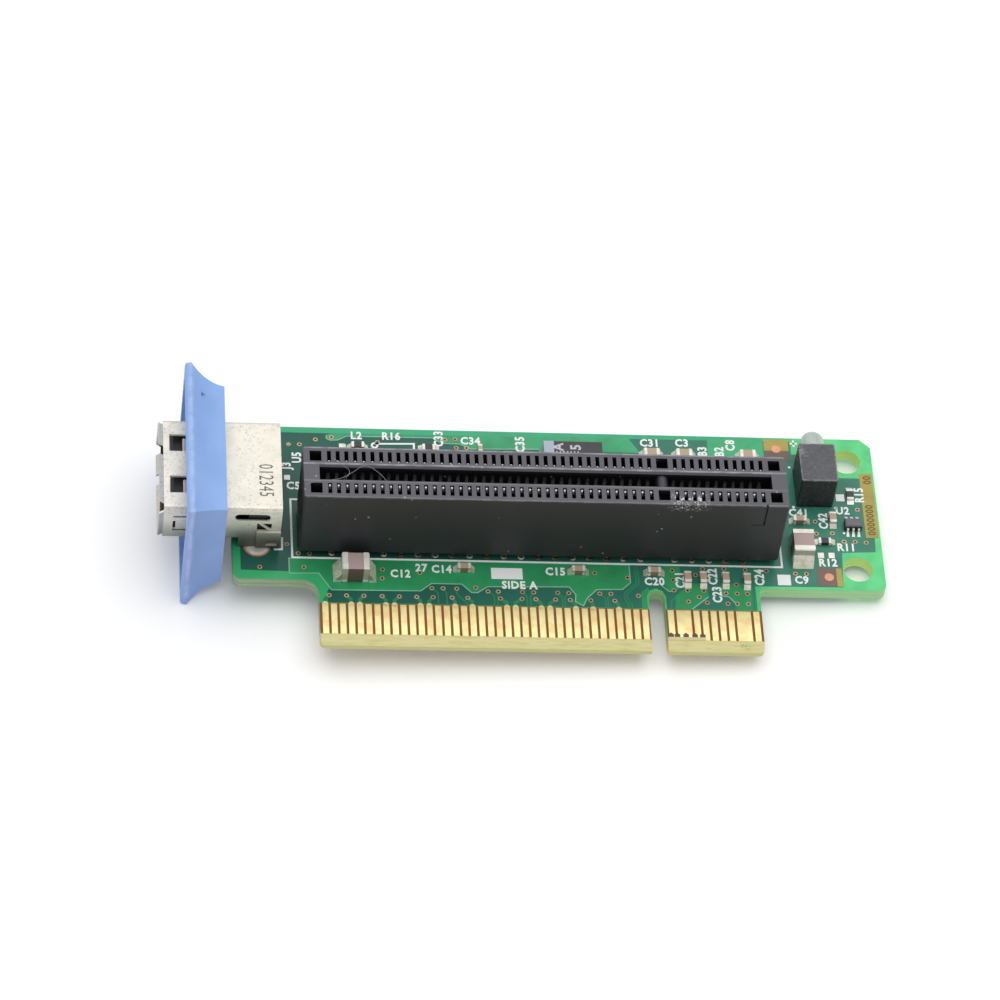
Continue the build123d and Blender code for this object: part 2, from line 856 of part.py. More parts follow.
def make_led_lens():
    """The clear light: a round body with a domed end that stands out of the holder."""
    x, y, z = light_axis()
    depth = light_bore_depth - 3 * light_lead_gap
    barrel = depth + light_reach
    body = Pos(x, y - depth + barrel / 2, z) * Rot(90, 0, 0) * Cylinder(light_radius, barrel)
    dome = Pos(x, y + light_reach, z) * Sphere(light_radius)
    return body + dome


def make_led_leads():
    """Two square leads, from the light's back down through the board."""
    x, y, z = light_axis()
    back = y - light_bore_depth + 2 * light_lead_gap
    lead_y = holder_y + light_lead_y
    half = light_lead_width / 2
    solids = []
    for lead_x in light_lead_places():
        across = block(lead_x - half, lead_x + half, lead_y - half, back, z - half, z + half)
        down = block(lead_x - half, lead_x + half, lead_y - half, lead_y + half, -tail_length, z + half)
        solids.append(across + down)
    return gather(solids)


def turned(x, share, direction):
    """Places a piece that is drawn along X at the origin."""
    return Pos(x, depthwise(share), 0) * (Rot(0, 0, 90) if direction == "y" else Rot(0, 0, 0))


def chip_body(x, share, size, direction):
    """The ceramic between the two end caps."""
    length, width, height = size
    end = length * terminal_share
    body = Box(length - 2 * end, width * body_width_share, height * body_height_share)
    return turned(x, share, direction) * Pos(0, 0, chip_seat + height / 2) * body


def chip_terminals(x, share, size, direction):
    """Two end caps with rounded outer edges."""
    length, width, height = size
    end = length * terminal_share
    soft = min(terminal_soft, width * terminal_soft)
    solids = []
    for side in (-1, 1):
        cap = Box(end, width, height)
        face = cap.faces().sort_by(Axis.X)[-1 if side > 0 else 0]
        cap = chamfer(face.edges(), soft)
        placed = Pos(side * (length - end) / 2, 0, chip_seat + height / 2) * cap
        solids.append(turned(x, share, direction) * placed)
    return solids


def solder(x, share, size, direction):
    """The solder at both ends: a sloped fillet against each cap, on its pad."""
    length, width, height = size
    rise = height * solder_height
    reach = solder_reach if height < tall_chip else 2 * solder_reach
    solids = []
    for side in (-1, 1):
        foot = side * length / 2
        toe = foot + side * reach
        section = [(foot, 0), (toe, 0), (toe, solder_toe), (foot, rise)]
        plane = Plane((0, width / 2, 0), x_dir=(1, 0, 0), z_dir=(0, -1, 0))
        wedge = extrude(plane * make_face(Polyline(*section, close=True)), width)
        solids.append(turned(x, share, direction) * wedge)
    return solids


def chips(maker, table):
    """One kind of solid for each part in a table."""
    solids = []
    for entry in table:
        made = maker(*entry)
        solids += made if isinstance(made, list) else [made]
    return gather(solids)


def make_tantalum_body():
    """The moulded block, a little narrower at the top, seated on its tabs."""
    x, y = tantalum_place
    tall = tantalum_height - tantalum_seat
    body = Box(tantalum_length - 2 * (tantalum_sheet + bite), tantalum_width, tall)
    body = chamfer(body.faces().sort_by(Axis.Z)[-1].edges().filter_by(Axis.X), tantalum_draft)
    return Pos(x, y, tantalum_seat + tall / 2) * body


def make_tantalum_tabs():
    """Two folded tabs, up each end and under the block."""
    x, y = tantalum_place
    half = tantalum_width * tantalum_tab_share / 2
    low = pad_thickness
    solids = []
    for side in (-1, 1):
        face = x + side * (tantalum_length / 2 - tantalum_sheet - bite)
        riser_top = tantalum_height * tantalum_tab_share
        riser = block(face, face + side * tantalum_sheet, y - half, y + half, low, riser_top)
        sole = block(face, face - side * tantalum_sole, y - half, y + half, low, low + tantalum_sheet)
        solids.append(riser + sole)
    return gather(solids)


def make_switch_body():
    """A six-lead chip's moulded body, with drafted sides."""
    body = Box(switch_length, switch_width, switch_height - switch_seat)
    body = chamfer(body.faces().sort_by(Axis.Z)[-1].edges(), switch_soft)
    return Pos(switch_x, switch_y, (switch_height + switch_seat) / 2) * body


def make_switch_leads():
    """Six gull-wing leads."""
    solids = []
    half = switch_lead_width / 2
    for side in (-1, 1):
        for step in (-1, 0, 1):
            x = switch_x + step * switch_lead_pitch
            path = [
                (switch_lead_gap, switch_lead_height), (switch_lead_knee, switch_lead_height),
                (switch_lead_heel, switch_seat), (switch_lead_reach, switch_seat),
            ]
            path = [(side * (switch_width / 2 + reach), z) for reach, z in path]
            points = [(switch_y + across, z) for across, z in strip(path, switch_lead_thickness)]
            solids.append(plate(points, x - half, x + half))
    return gather(solids)


def make_bare_pads():
    """Tinned pads without a part, and the two round sighting marks."""
    solids = []
    for x, share, width, depth in bare_pads:
        solids.append(extrude(Pos(x, depthwise(share)) * Rectangle(width, depth), pad_thickness))
    for x, share in sighting_marks:
        mark = RegularPolygon(sighting_diameter / 2, mark_sides)
        solids.append(extrude(Pos(x, depthwise(share)) * mark, pad_thickness))
    return gather(solids)


def build():
    """Every node of the card."""
    capacitors = power_capacitors + chip_capacitors
    return {
        "circuit_board": make_board(),
        "gold_fingers_top": make_fingers_top(),
        "gold_fingers_bottom": make_fingers_bottom(),
        "slot_housing": make_slot_housing(),
        "slot_contacts_near": make_slot_contacts("near"),
        "slot_contacts_far": make_slot_contacts("far"),
        "usb_shell": make_usb_shell(),
        "usb_insulator": make_usb_insulator(),
        "usb_contacts": make_usb_contacts(),
        "lock_collar": make_lock_collar(),
        "led_holder": make_led_holder(),
        "led_lens": make_led_lens(),
        "led_leads": make_led_leads(),
        "power_capacitor_bodies": chips(chip_body, power_capacitors),
        "power_capacitor_ends": chips(chip_terminals, power_capacitors),
        "chip_capacitor_bodies": chips(chip_body, chip_capacitors),
        "chip_capacitor_ends": chips(chip_terminals, chip_capacitors),
        "resistor_bodies": chips(chip_body, resistors),
        "resistor_ends": chips(chip_terminals, resistors),
        "solder_fillets": chips(solder, capacitors + resistors),
        "tantalum_body": make_tantalum_body(),
        "tantalum_tabs": make_tantalum_tabs(),
        "switch_chip_body": make_switch_body(),
        "switch_chip_leads": make_switch_leads(),
        "bare_pads": make_bare_pads(),
    }


os.makedirs("parts", exist_ok=True)
for node, shape in build().items():
    export_step(shape, f"parts/{node}.step")
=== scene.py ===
"""A riser card for a low server, dressed for its picture.

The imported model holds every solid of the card. This script gives each of them its finish, adds the
tracks, vias, print, solder and dust that are too fine for it, and sets up a plain studio.
Lengths are millimetres until a mesh is made, which is in metres.
"""
import logging
import math
import random
from dataclasses import dataclass
from enum import Enum
from typing import Any, Sequence

import bmesh
import bpy
from mathutils import Matrix, Vector


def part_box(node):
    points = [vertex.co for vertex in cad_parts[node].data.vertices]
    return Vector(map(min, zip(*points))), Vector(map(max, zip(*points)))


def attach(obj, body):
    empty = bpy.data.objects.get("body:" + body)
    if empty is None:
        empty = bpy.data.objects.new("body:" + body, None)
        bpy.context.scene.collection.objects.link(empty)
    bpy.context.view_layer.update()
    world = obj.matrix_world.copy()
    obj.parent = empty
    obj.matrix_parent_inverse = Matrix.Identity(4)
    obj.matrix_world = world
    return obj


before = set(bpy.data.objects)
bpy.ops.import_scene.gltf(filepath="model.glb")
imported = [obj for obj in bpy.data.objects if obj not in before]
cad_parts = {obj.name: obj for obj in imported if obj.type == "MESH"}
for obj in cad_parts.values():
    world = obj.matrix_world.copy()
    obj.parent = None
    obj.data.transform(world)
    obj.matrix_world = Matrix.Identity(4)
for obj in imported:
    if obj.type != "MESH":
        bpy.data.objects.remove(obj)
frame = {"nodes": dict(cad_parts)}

LOG = logging.getLogger("riser_card")
MM = 0.001
CARD = "card"
COLLAR = "collar"

Point = tuple[float, float]
Colour = tuple[float, float, float, float]


class Slot(Enum):
    """The material slots of the record."""

    MASK = "solder_mask"
    GOLD = "gold"
    SLOT_PLASTIC = "slot_plastic"
    CONTACT = "contact_metal"
    TIN = "tin_plate"
    BLACK = "black_plastic"
    BLUE = "blue_plastic"
    EPOXY = "clear_epoxy"
    SOLDER = "solder"
    CERAMIC = "ceramic"
    RESISTOR = "resistor_film"
    COPPER = "copper"


class Side(Enum):
    """The two faces of the board, with the direction that a layer on it grows."""

    TOP = 1
    BOTTOM = -1


def ink(code: str) -> Colour:
    """Turns a colour as seen on a screen into the linear colour that a shader takes.

    Args:
        code: Six hexadecimal digits.

    Returns:
        Linear red, green, blue and an alpha of 1.
    """
    parts = [int(code[i:i + 2], 16) / 255 for i in (0, 2, 4)]
    linear = [p / 12.92 if p <= 0.04045 else ((p + 0.055) / 1.055) ** 2.4 for p in parts]
    return (linear[0], linear[1], linear[2], 1.0)


# Shader maths


class Signal:
    """A socket that stands in Python expressions."""

    def __init__(self, tree: "ShaderTree", socket: bpy.types.NodeSocket) -> None:
        """Keeps the socket and the tree that it belongs to."""
        self.tree = tree
        self.socket = socket

    def _math(self, operation: str, first: Any, second: Any) -> "Signal":
        """Adds one Math node."""
        return self.tree.node("ShaderNodeMath", {"operation": operation}, {0: first, 1: second})

    def __add__(self, other: Any) -> "Signal":
        """Sum."""
        return self._math("ADD", self, other)

    def __sub__(self, other: Any) -> "Signal":
        """Difference."""
        return self._math("SUBTRACT", self, other)

    def __rsub__(self, other: Any) -> "Signal":
        """Difference from a number."""
        return self._math("SUBTRACT", other, self)

    def __mul__(self, other: Any) -> "Signal":
        """Product."""
        return self._math("MULTIPLY", self, other)

    def __truediv__(self, other: Any) -> "Signal":
        """Quotient."""
        return self._math("DIVIDE", self, other)

    def __abs__(self) -> "Signal":
        """Size without its sign."""
        return self._math("ABSOLUTE", self, 0.0)

    def __pow__(self, power: float) -> "Signal":
        """Power."""
        return self._math("POWER", self, power)

    __radd__ = __add__
    __rmul__ = __mul__

    def most(self, other: Any) -> "Signal":
        """The larger of two values."""
        return self._math("MAXIMUM", self, other)

    def least(self, other: Any) -> "Signal":
        """The smaller of two values."""
        return self._math("MINIMUM", self, other)

    def rise(self, low: float, high: float) -> "Signal":
        """Goes smoothly from 0 at low to 1 at high, either way round."""
        turn = low > high
        start, end = (high, low) if turn else (low, high)
        ramp = self.tree.node(
            "ShaderNodeMapRange",
            {"interpolation_type": "SMOOTHSTEP"},
            {"Value": self, "From Min": start, "From Max": end},
        )
        return 1 - ramp if turn else ramp

    def within(self, low: float, high: float, soft: float) -> "Signal":
        """1 between two values and 0 outside them, with soft edges."""
        return self.rise(low - soft, low + soft) * self.rise(high + soft, high - soft)


class ShaderTree:
    """A node tree, written as expressions and calls of one method."""

    def __init__(self, owner: Any) -> None:
        """Empties the owner's node tree."""
        owner.use_nodes = True
        self.owner = owner
        self.nodes = owner.node_tree.nodes
        self.links = owner.node_tree.links
        self.nodes.clear()
        self._object_mm: Signal | None = None

    def node(
        self, kind: str, settings: dict | None = None, inputs: dict | None = None, output: Any = 0
    ) -> Signal:
        """Adds a node.

        Args:
            kind: The node's type.
            settings: Its own settings, set first. stops stands for a ramp's stops.
            inputs: Values or signals for its sockets, by name or number.
            output: The name or number of the socket that is returned.

        Returns:
            The node's output as a signal.
        """
        made = self.nodes.new(kind)
        for key, value in (settings or {}).items():
            if key == "stops":
                self._set_stops(made.color_ramp, value)
            else:
                setattr(made, key, value)
        for key, value in (inputs or {}).items():
            if isinstance(value, Signal):
                self.links.new(value.socket, made.inputs[key])
            else:
                made.inputs[key].default_value = value
        return Signal(self, made.outputs[output])

    @staticmethod
    def _set_stops(ramp: bpy.types.ColorRamp, stops: Sequence[tuple[float, Colour]]) -> None:
        """Gives a colour ramp its stops."""
        while len(ramp.elements) < len(stops):
            ramp.elements.new(1.0)
        for element, (place, colour) in zip(ramp.elements, stops):
            element.position = place
            element.color = colour

    def here(self) -> Signal:
        """The place on the object, in millimetres."""
        if self._object_mm is None:
            place = self.node("ShaderNodeTexCoord", output="Object")
            self._object_mm = self.node(
                "ShaderNodeVectorMath", {"operation": "SCALE"}, {0: place, "Scale": 1 / MM}
            )
        return self._object_mm

    def axes(self, vector: Signal | None = None) -> tuple[Signal, Signal, Signal]:
        """The three parts of a vector, or of the place on the object."""
        whole = self.here() if vector is None else vector
        split = self.node("ShaderNodeSeparateXYZ", {}, {0: whole})
        outputs = split.socket.node.outputs
        return split, Signal(self, outputs[1]), Signal(self, outputs[2])

    def facing(self) -> tuple[Signal, Signal, Signal]:
        """The three parts of the surface's normal."""
        return self.axes(self.node("ShaderNodeNewGeometry", output="Normal"))

    def stretched(self, x: float, y: float, z: float) -> Signal:
        """The place on the object, scaled along each axis."""
        return self.node("ShaderNodeVectorMath", {"operation": "MULTIPLY"}, {0: self.here(), 1: (x, y, z)})

    def noise(
        self, size: float, detail: float = 3.0, rough: float = 0.5, place: Signal | None = None
    ) -> Signal:
        """Cloudy variation.

        Args:
            size: The size of its forms in millimetres.
            detail: How many finer layers it has.
            rough: How strong the finer layers are.
            place: The coordinates, if not the place on the object.

        Returns:
            A value about 0.5.
        """
        sockets = {
            "Vector": place or self.here(), "Scale": 1 / size, "Detail": detail, "Roughness": rough
        }
        return self.node("ShaderNodeTexNoise", {}, sockets)

    def cells(self, size: float, place: Signal | None = None) -> Signal:
        """Distance to scattered points that stand about one size apart."""
        return self.node("ShaderNodeTexVoronoi", {}, {"Vector": place or self.here(), "Scale": 1 / size})

    def mix(self, factor: Any, first: Any, second: Any) -> Signal:
        """Blends two colours."""
        settings = {"data_type": "RGBA"}
        return self.node("ShaderNodeMix", settings, {0: factor, 6: first, 7: second}, output=2)

    def bump(self, height: Signal, depth: float, strength: float = 1.0) -> Signal:
        """A normal from heights between 0 and 1.

        Args:
            height: The heights.
            depth: Millimetres between 0 and 1.
            strength: How much of the bump shows.

        Returns:
            The normal.
        """
        sockets = {"Strength": strength, "Distance": depth * MM, "Height": height}
        return self.node("ShaderNodeBump", {}, sockets)

    def surface(self, **inputs: Any) -> Signal:
        """A Principled surface, with its sockets named in words joined by an underline."""
        names = {key.replace("_", " "): value for key, value in inputs.items()}
        if "Specular Level" in names:
            names["Specular IOR Level"] = names.pop("Specular Level")
        return self.node("ShaderNodeBsdfPrincipled", {}, names)

    def close(self, shader: Signal, kind: str = "ShaderNodeOutputMaterial") -> None:
        """Ends the tree with its output."""
        self.node_end = self.nodes.new(kind)
        self.links.new(shader.socket, self.node_end.inputs["Surface"])


# Finishes


@dataclass(frozen=True)
class Finish:
    """What all finishes share: a name, and one material that is made once."""

    name: str

    def material(self) -> bpy.types.Material:
        """The material of this finish, made when it is first asked for."""
        label = f"look_{self.name}"
        found = bpy.data.materials.get(label)
        if found is not None:
            return found
        made = bpy.data.materials.new(label)
        tree = ShaderTree(made)
        tree.close(self.dress(tree))
        return made

    def dress(self, tree: ShaderTree) -> Signal:
        """Builds the surface. Each finish has its own."""
        raise NotImplementedError


@dataclass(frozen=True)
class BoardFinish(Finish):
    """Green mask on glass laminate, bare at the card edge and on every cut side."""

    mask_from: float = 5.75
    # painted light: the mask goes from a darker green at the left end to a lighter one at the right
    shaded_left_green: Colour = ink("35b06c")
    lit_right_green: Colour = ink("66de8c")
    far_green: Colour = ink("38b182")
    laminate: Colour = ink("ddd59c")
    fibre_gold: Colour = ink("c3ba70")
    # painted light: the cut sides go from a darker colour at the left end to a lighter one at the right
    lit_cut_side: Colour = ink("a2d89a")
    cut_shade: Colour = ink("8fa786")
    # painted glow: the mounting holes' walls made bright for light through the laminate
    hole_wall_glow: Colour = ink("e2ff9c")
    # bare laminate between the fingers, darkened brown with painted shade
    gap_brown_and_shade: Colour = ink("84551f")
    hole_x: float = 24.07
    hole_places: tuple[float, float] = (12.12, 28.22)
    hole_radius: float = 1.75
    chip_x: float = 9.9
    chip_y: float = 0.75

    def dress(self, tree: ShaderTree) -> Signal:
        """Mask above and below, laminate on the sides, the bevel and between the fingers, with painted shade in
        the gaps between the fingers.
        """
        x, y, z = tree.axes()
        _, _, normal_z = tree.facing()
        flat = abs(normal_z).rise(0.97, 0.985)
        masked = flat * y.rise(self.mask_from - 0.05, self.mask_from + 0.05)
        weave = tree.node(
            "ShaderNodeTexWave",
            {"wave_type": "BANDS", "bands_direction": "X"},
            {"Vector": tree.here(), "Scale": 0.55, "Distortion": 0.6, "Detail": 1.0},
        )
        clouds = tree.noise(2.5, 4.0)
        # painted light: lighter toward the right end
        green = tree.mix(x.rise(-45.0, 24.0), self.shaded_left_green, self.lit_right_green)
        green = tree.mix(y.rise(27.0, 30.5) * x.rise(20.0, 10.0), green, self.far_green)
        green = tree.mix((clouds.rise(0.3, 0.75)) * 0.35, green, ink("2c9a66"))
        fibres = tree.noise(0.35, 3.0, 0.6, tree.stretched(0.15, 1.0, 4.0))
        grain = tree.mix(fibres.rise(0.4, 0.75) * 0.7, self.laminate, self.fibre_gold)
        grain = tree.mix(abs(z + 0.8).rise(0.5, 0.1) * 0.3, grain, ink("c9cf8a"))
        # painted light and shade: cut sides darker toward the left end
        side = tree.mix(x.rise(-40.0, 10.0), self.cut_shade, self.lit_cut_side)
        # painted glow in the mounting holes' walls
        for hole_y in self.hole_places:
            away = ((x - self.hole_x) ** 2.0 + (y - hole_y) ** 2.0) ** 0.5
            side = tree.mix(away.rise(self.hole_radius + 0.3, self.hole_radius + 0.1), side, self.hole_wall_glow)
        layers = abs(z + 0.8).within(0.25, 0.45, 0.06)
        side = tree.mix(layers * 0.25, side, ink("d9e6bb"))
        side = tree.mix(fibres.rise(0.45, 0.8) * 0.45, side, ink("d6e2bd"))
        tip = y.rise(1.4, 1.2)
        # between the fingers: bare laminate darkened with painted shade
        bare = tree.mix(tip.most(1 - flat), self.gap_brown_and_shade, grain)
        steep = abs(normal_z).rise(0.5, 0.3) * y.rise(1.6, 2.4)
        bare = tree.mix(steep, bare, side)
        chip = abs(x - self.chip_x).rise(0.8, 0.2) * abs(y - self.chip_y).rise(0.5, 0.1)
        chip = chip * tree.noise(0.3, 5.0, 0.7, tree.stretched(1.0, 2.2, 2.2)).rise(0.52, 0.58)
        bare = tree.mix(chip, bare, ink("2a9c62"))
        colour = tree.mix(masked, bare, green)
        peel = tree.noise(0.5, 2.0) * 0.6 + weave * 0.4
        normal = tree.bump(peel, 0.012)
        rough = 0.62 - masked * 0.3 + (clouds - 0.5) * 0.12
        return tree.surface(
            Base_Color=colour, Roughness=rough, Normal=normal, Coat_Weight=masked * 0.15,
            Coat_Roughness=0.15, Specular_Level=0.3,
        )


@dataclass(frozen=True)
class MaskFinish(Finish):
    """Green mask over copper, with a tone at the board's left end and one at its right end; where they differ,
    the lighter right end is painted light.
    """

    left: Colour
    right: Colour

    def dress(self, tree: ShaderTree) -> Signal:
        """A glossy film with slight clouds and the weave of the glass below it."""
        x, _, _ = tree.axes()
        clouds = tree.noise(3.0, 4.0)
        weave = tree.noise(0.45, 1.0, 0.4, tree.stretched(1.0, 1.6, 1.0))
        # painted light: where the two tones differ, lighter toward the right end
        colour = tree.mix(x.rise(-42.0, 24.0), self.left, self.right)
        colour = tree.mix(clouds.rise(0.35, 0.75) * 0.22, colour, ink("0c3a2c"))
        normal = tree.bump(weave * 0.7 + tree.noise(0.12, 2.0) * 0.3, 0.008)
        rough = 0.32 + (clouds - 0.5) * 0.15
        return tree.surface(
            Base_Color=colour, Roughness=rough, Normal=normal, Coat_Weight=0.12, Coat_Roughness=0.15,
            Specular_Level=0.25,
        )


@dataclass(frozen=True)
class MetalFinish(Finish):
    """A plated metal with a fine grain, small scratches and a cloudy tarnish."""

    tone: Colour
    worn: Colour
    rough: float = 0.3
    scratch_x: float = 1.0
    scratch_y: float = 1.0
    grain: float = 0.15
    depth: float = 0.006
    metallic: float = 1.0
    speckle: float = 0.0

    def dress(self, tree: ShaderTree) -> Signal:
        """Metal whose scratches run across the stretched axis."""
        clouds = tree.noise(1.8, 4.0)
        lines = tree.noise(self.grain, 3.0, 0.6, tree.stretched(self.scratch_x, self.scratch_y, 1.0))
        colour = tree.mix(clouds.rise(0.42, 0.68) * 0.7, self.tone, self.worn)
        if self.speckle:
            spots = tree.cells(0.42).rise(0.2, 0.1) * tree.noise(1.1, 2.0).rise(0.48, 0.6)
            colour = tree.mix(spots * self.speckle, colour, ink("6d675e"))
        rough = self.rough + (clouds - 0.5) * 0.2 + (lines - 0.5) * 0.16
        return tree.surface(
            Base_Color=colour, Metallic=self.metallic, Roughness=rough,
            Normal=tree.bump(lines, self.depth),
        )


@dataclass(frozen=True)
class ShellFinish(MetalFinish):
    """The receptacle's plated shell: mottled outside, painted dark within as shade."""

    centre_y: float = 20.1
    centre_z: float = 4.25
    half_width: float = 6.36
    half_height: float = 2.66
    tongue_x: float = -54.3
    # colour of the painted shade inside the mouth
    painted_inner_shade: Colour = ink("3c3a37")

    def dress(self, tree: ShaderTree) -> Signal:
        """Tin with pale clouds and dark mottles, painted grey-green shade and reflection low on its side walls.
        """
        x, y, z = tree.axes()
        _, _, up = tree.facing()
        clouds = tree.noise(1.8, 4.0)
        lines = tree.noise(self.grain, 3.0, 0.6, tree.stretched(self.scratch_x, self.scratch_y, 1.0))
        colour = tree.mix(clouds.rise(0.4, 0.7) * 0.6, self.tone, self.worn)
        mottle = tree.noise(0.3, 4.0, 0.65).rise(0.54, 0.64) * tree.noise(2.4, 3.0).rise(0.35, 0.55)
        spots = tree.cells(0.5).rise(0.26, 0.14) * tree.noise(1.3, 2.0).rise(0.45, 0.58)
        colour = tree.mix((mottle * 0.3 + spots * self.speckle).least(1.0), colour, ink("827b6c"))
        # painted shade and dark reflection low on the side walls, darkest low at the rear
        wall_shade = up.rise(0.5, 0.1)
        colour = tree.mix(wall_shade * z.rise(5.5, 1.5) * 0.75, colour, ink("7d8577"))
        colour = tree.mix(wall_shade * z.rise(4.4, 0.6) * x.rise(-50.8, -48.0) * 0.8, colour, ink("45443f"))
        # painted shade inside the mouth, except over the tongue
        within = abs(y - self.centre_y).rise(self.half_width, self.half_width - 0.06)
        within = within * abs(z - self.centre_z).rise(self.half_height, self.half_height - 0.06)
        tongue = x.rise(self.tongue_x + 0.2, self.tongue_x - 0.2) * z.rise(5.0, 5.3)
        colour = tree.mix(within * (1 - tongue), colour, self.painted_inner_shade)
        rough = self.rough + (clouds - 0.5) * 0.2 + (lines - 0.5) * 0.16
        return tree.surface(
            Base_Color=colour, Metallic=self.metallic, Roughness=rough,
            Normal=tree.bump(lines * 0.6 + mottle * 0.4, self.depth),
        )


@dataclass(frozen=True)
class SpringFinish(MetalFinish):
    """The slot's spring contacts: bright where they bow into the groove, painted dark as shade in their cavities.
    """

    centre_y: float = 15.95
    bow: float = 1.15
    # colour of the painted shade in the cavities
    dark: Colour = ink("161514")

    def dress(self, tree: ShaderTree) -> Signal:
        """Nickel, with painted shade that deepens down the cavity."""
        _, y, z = tree.axes()
        lines = tree.noise(self.grain, 3.0, 0.6, tree.stretched(1.0, 1.0, 0.2))
        colour = tree.mix(lines.rise(0.35, 0.7), self.tone, self.worn)
        # painted shade: away from the groove and low down, the metal turns dark and loses its shine
        painted_cavity_shade = abs(y - self.centre_y).rise(self.bow, self.bow + 0.25) * z.rise(0.5, 1.5)
        colour = tree.mix(painted_cavity_shade, colour, self.dark)
        return tree.surface(
            Base_Color=colour, Metallic=self.metallic * (1 - painted_cavity_shade), Roughness=self.rough,
            Normal=tree.bump(lines, self.depth),
        )


@dataclass(frozen=True)
class EndCapFinish(MetalFinish):
    """Tinned end caps: white above, painted green-grey shade on their walls, bright where solder wets them."""

    # colour of the painted shade on the steep walls
    wall_shade: Colour = ink("8f917a")
    wetted: float = 0.55

    def dress(self, tree: ShaderTree) -> Signal:
        """Tin over a baked silver paste."""
        _, _, z = tree.axes()
        _, _, up = tree.facing()
        grain = tree.noise(self.grain, 3.0)
        clouds = tree.noise(0.8, 3.0)
        colour = tree.mix(clouds.rise(0.4, 0.7) * 0.6, self.tone, self.worn)
        # painted shade: steep faces above the wetted height turn green-grey
        steep = up.rise(0.45, 0.1) * z.rise(self.wetted - 0.15, self.wetted + 0.1)
        colour = tree.mix(steep * 0.7, colour, self.wall_shade)
        return tree.surface(
            Base_Color=colour, Metallic=self.metallic, Roughness=self.rough + (clouds - 0.5) * 0.2,
            Normal=tree.bump(grain, self.depth),
        )


@dataclass(frozen=True)
class JointFinish(MetalFinish):
    """Solder round the slot's tails, bright at some and stained by flux at others."""

    stain: Colour = ink("6b4c36")
    reach: float = 1.6

    def dress(self, tree: ShaderTree) -> Signal:
        """Solder and flux."""
        patches = tree.noise(self.reach, 1.0, 0.5, tree.stretched(1.0, 0.15, 0.15))
        grain = tree.noise(self.grain, 4.0)
        colour = tree.mix(patches.rise(0.42, 0.56), self.tone, self.stain)
        colour = tree.mix(grain.rise(0.5, 0.75) * 0.5, colour, self.worn)
        return tree.surface(
            Base_Color=colour, Metallic=self.metallic, Roughness=self.rough + (grain - 0.5) * 0.3,
            Normal=tree.bump(grain, self.depth),
        )


@dataclass(frozen=True)
class PlasticFinish(Finish):
    """Moulded plastic with a fine spark-eroded grain, scuffs and settled dust."""

    tone: Colour
    scuff: Colour
    rough: float = 0.5
    grain: float = 0.09
    depth: float = 0.006
    dust: float = 0.1
    specular: float = 0.5
    skin: float = 0.0

    def dress(self, tree: ShaderTree) -> Signal:
        """Plastic that is a little paler where it faces up."""
        clouds = tree.noise(4.0, 5.0)
        grain = tree.noise(self.grain, 2.0)
        _, _, up = tree.facing()
        scratches = tree.noise(0.7, 6.0, 0.7, tree.stretched(0.25, 1.2, 1.2)).rise(0.62, 0.72)
        specks = tree.cells(0.9).rise(0.09, 0.04) * tree.noise(2.2, 2.0).rise(0.5, 0.6)
        worn = (scratches * 0.25 + specks).least(1.0)
        settled = up.rise(0.2, 0.9) * self.dust * (0.6 + clouds * 0.8)
        colour = tree.mix((worn * 0.55 + settled).least(1.0), self.tone, self.scuff)
        rough = self.rough + (clouds - 0.5) * 0.18 + worn * 0.1
        return tree.surface(
            Base_Color=colour, Roughness=rough, Normal=tree.bump(grain, self.depth),
            Specular_Level=self.specular, Subsurface_Weight=self.skin,
            Subsurface_Radius=(0.9, 1.0, 1.3), Subsurface_Scale=MM,
        )


@dataclass(frozen=True)
class HolderFinish(PlasticFinish):
    """The light's black holder, rubbed along its upper edges and scuffed at one corner."""

    low: Point = (17.55, 21.3)
    high: Point = (21.85, 26.85)
    top: float = 5.0

    def dress(self, tree: ShaderTree) -> Signal:
        """Black plastic, dusty above, with pale edges."""
        x, y, z = tree.axes()
        _, _, up = tree.facing()
        clouds = tree.noise(1.6, 5.0, 0.6)
        grain = tree.noise(self.grain, 2.0)
        in_x = (x - self.low[0]).least(self.high[0] - x)
        in_y = (y - self.low[1]).least(self.high[1] - y)
        edge = in_x.rise(0.22, 0.04).most(in_y.rise(0.22, 0.04)) * z.rise(self.top - 0.3, self.top - 0.1)
        edge = edge * tree.noise(0.5, 5.0, 0.7).rise(0.38, 0.6)
        corner = x.rise(self.low[0] + 1.6, self.low[0]) * y.rise(self.high[1] - 3.0, self.high[1])
        corner = corner * z.rise(self.top - 3.2, self.top - 0.4)
        scuffs = tree.noise(0.35, 5.0, 0.7).rise(0.48, 0.58) * (0.12 + corner * 1.2)
        dust = tree.cells(1.1).rise(0.1, 0.05) * z.rise(self.top - 2.5, self.top)
        settled = up.rise(0.2, 0.9) * self.dust * (0.5 + clouds)
        worn = (settled + edge * 0.7 + scuffs * 0.8 + dust * 0.7).least(1.0)
        colour = tree.mix(worn, self.tone, self.scuff)
        return tree.surface(
            Base_Color=colour, Roughness=self.rough + (clouds - 0.5) * 0.2,
            Normal=tree.bump(grain * 0.5 + scuffs, self.depth), Specular_Level=self.specular,
        )


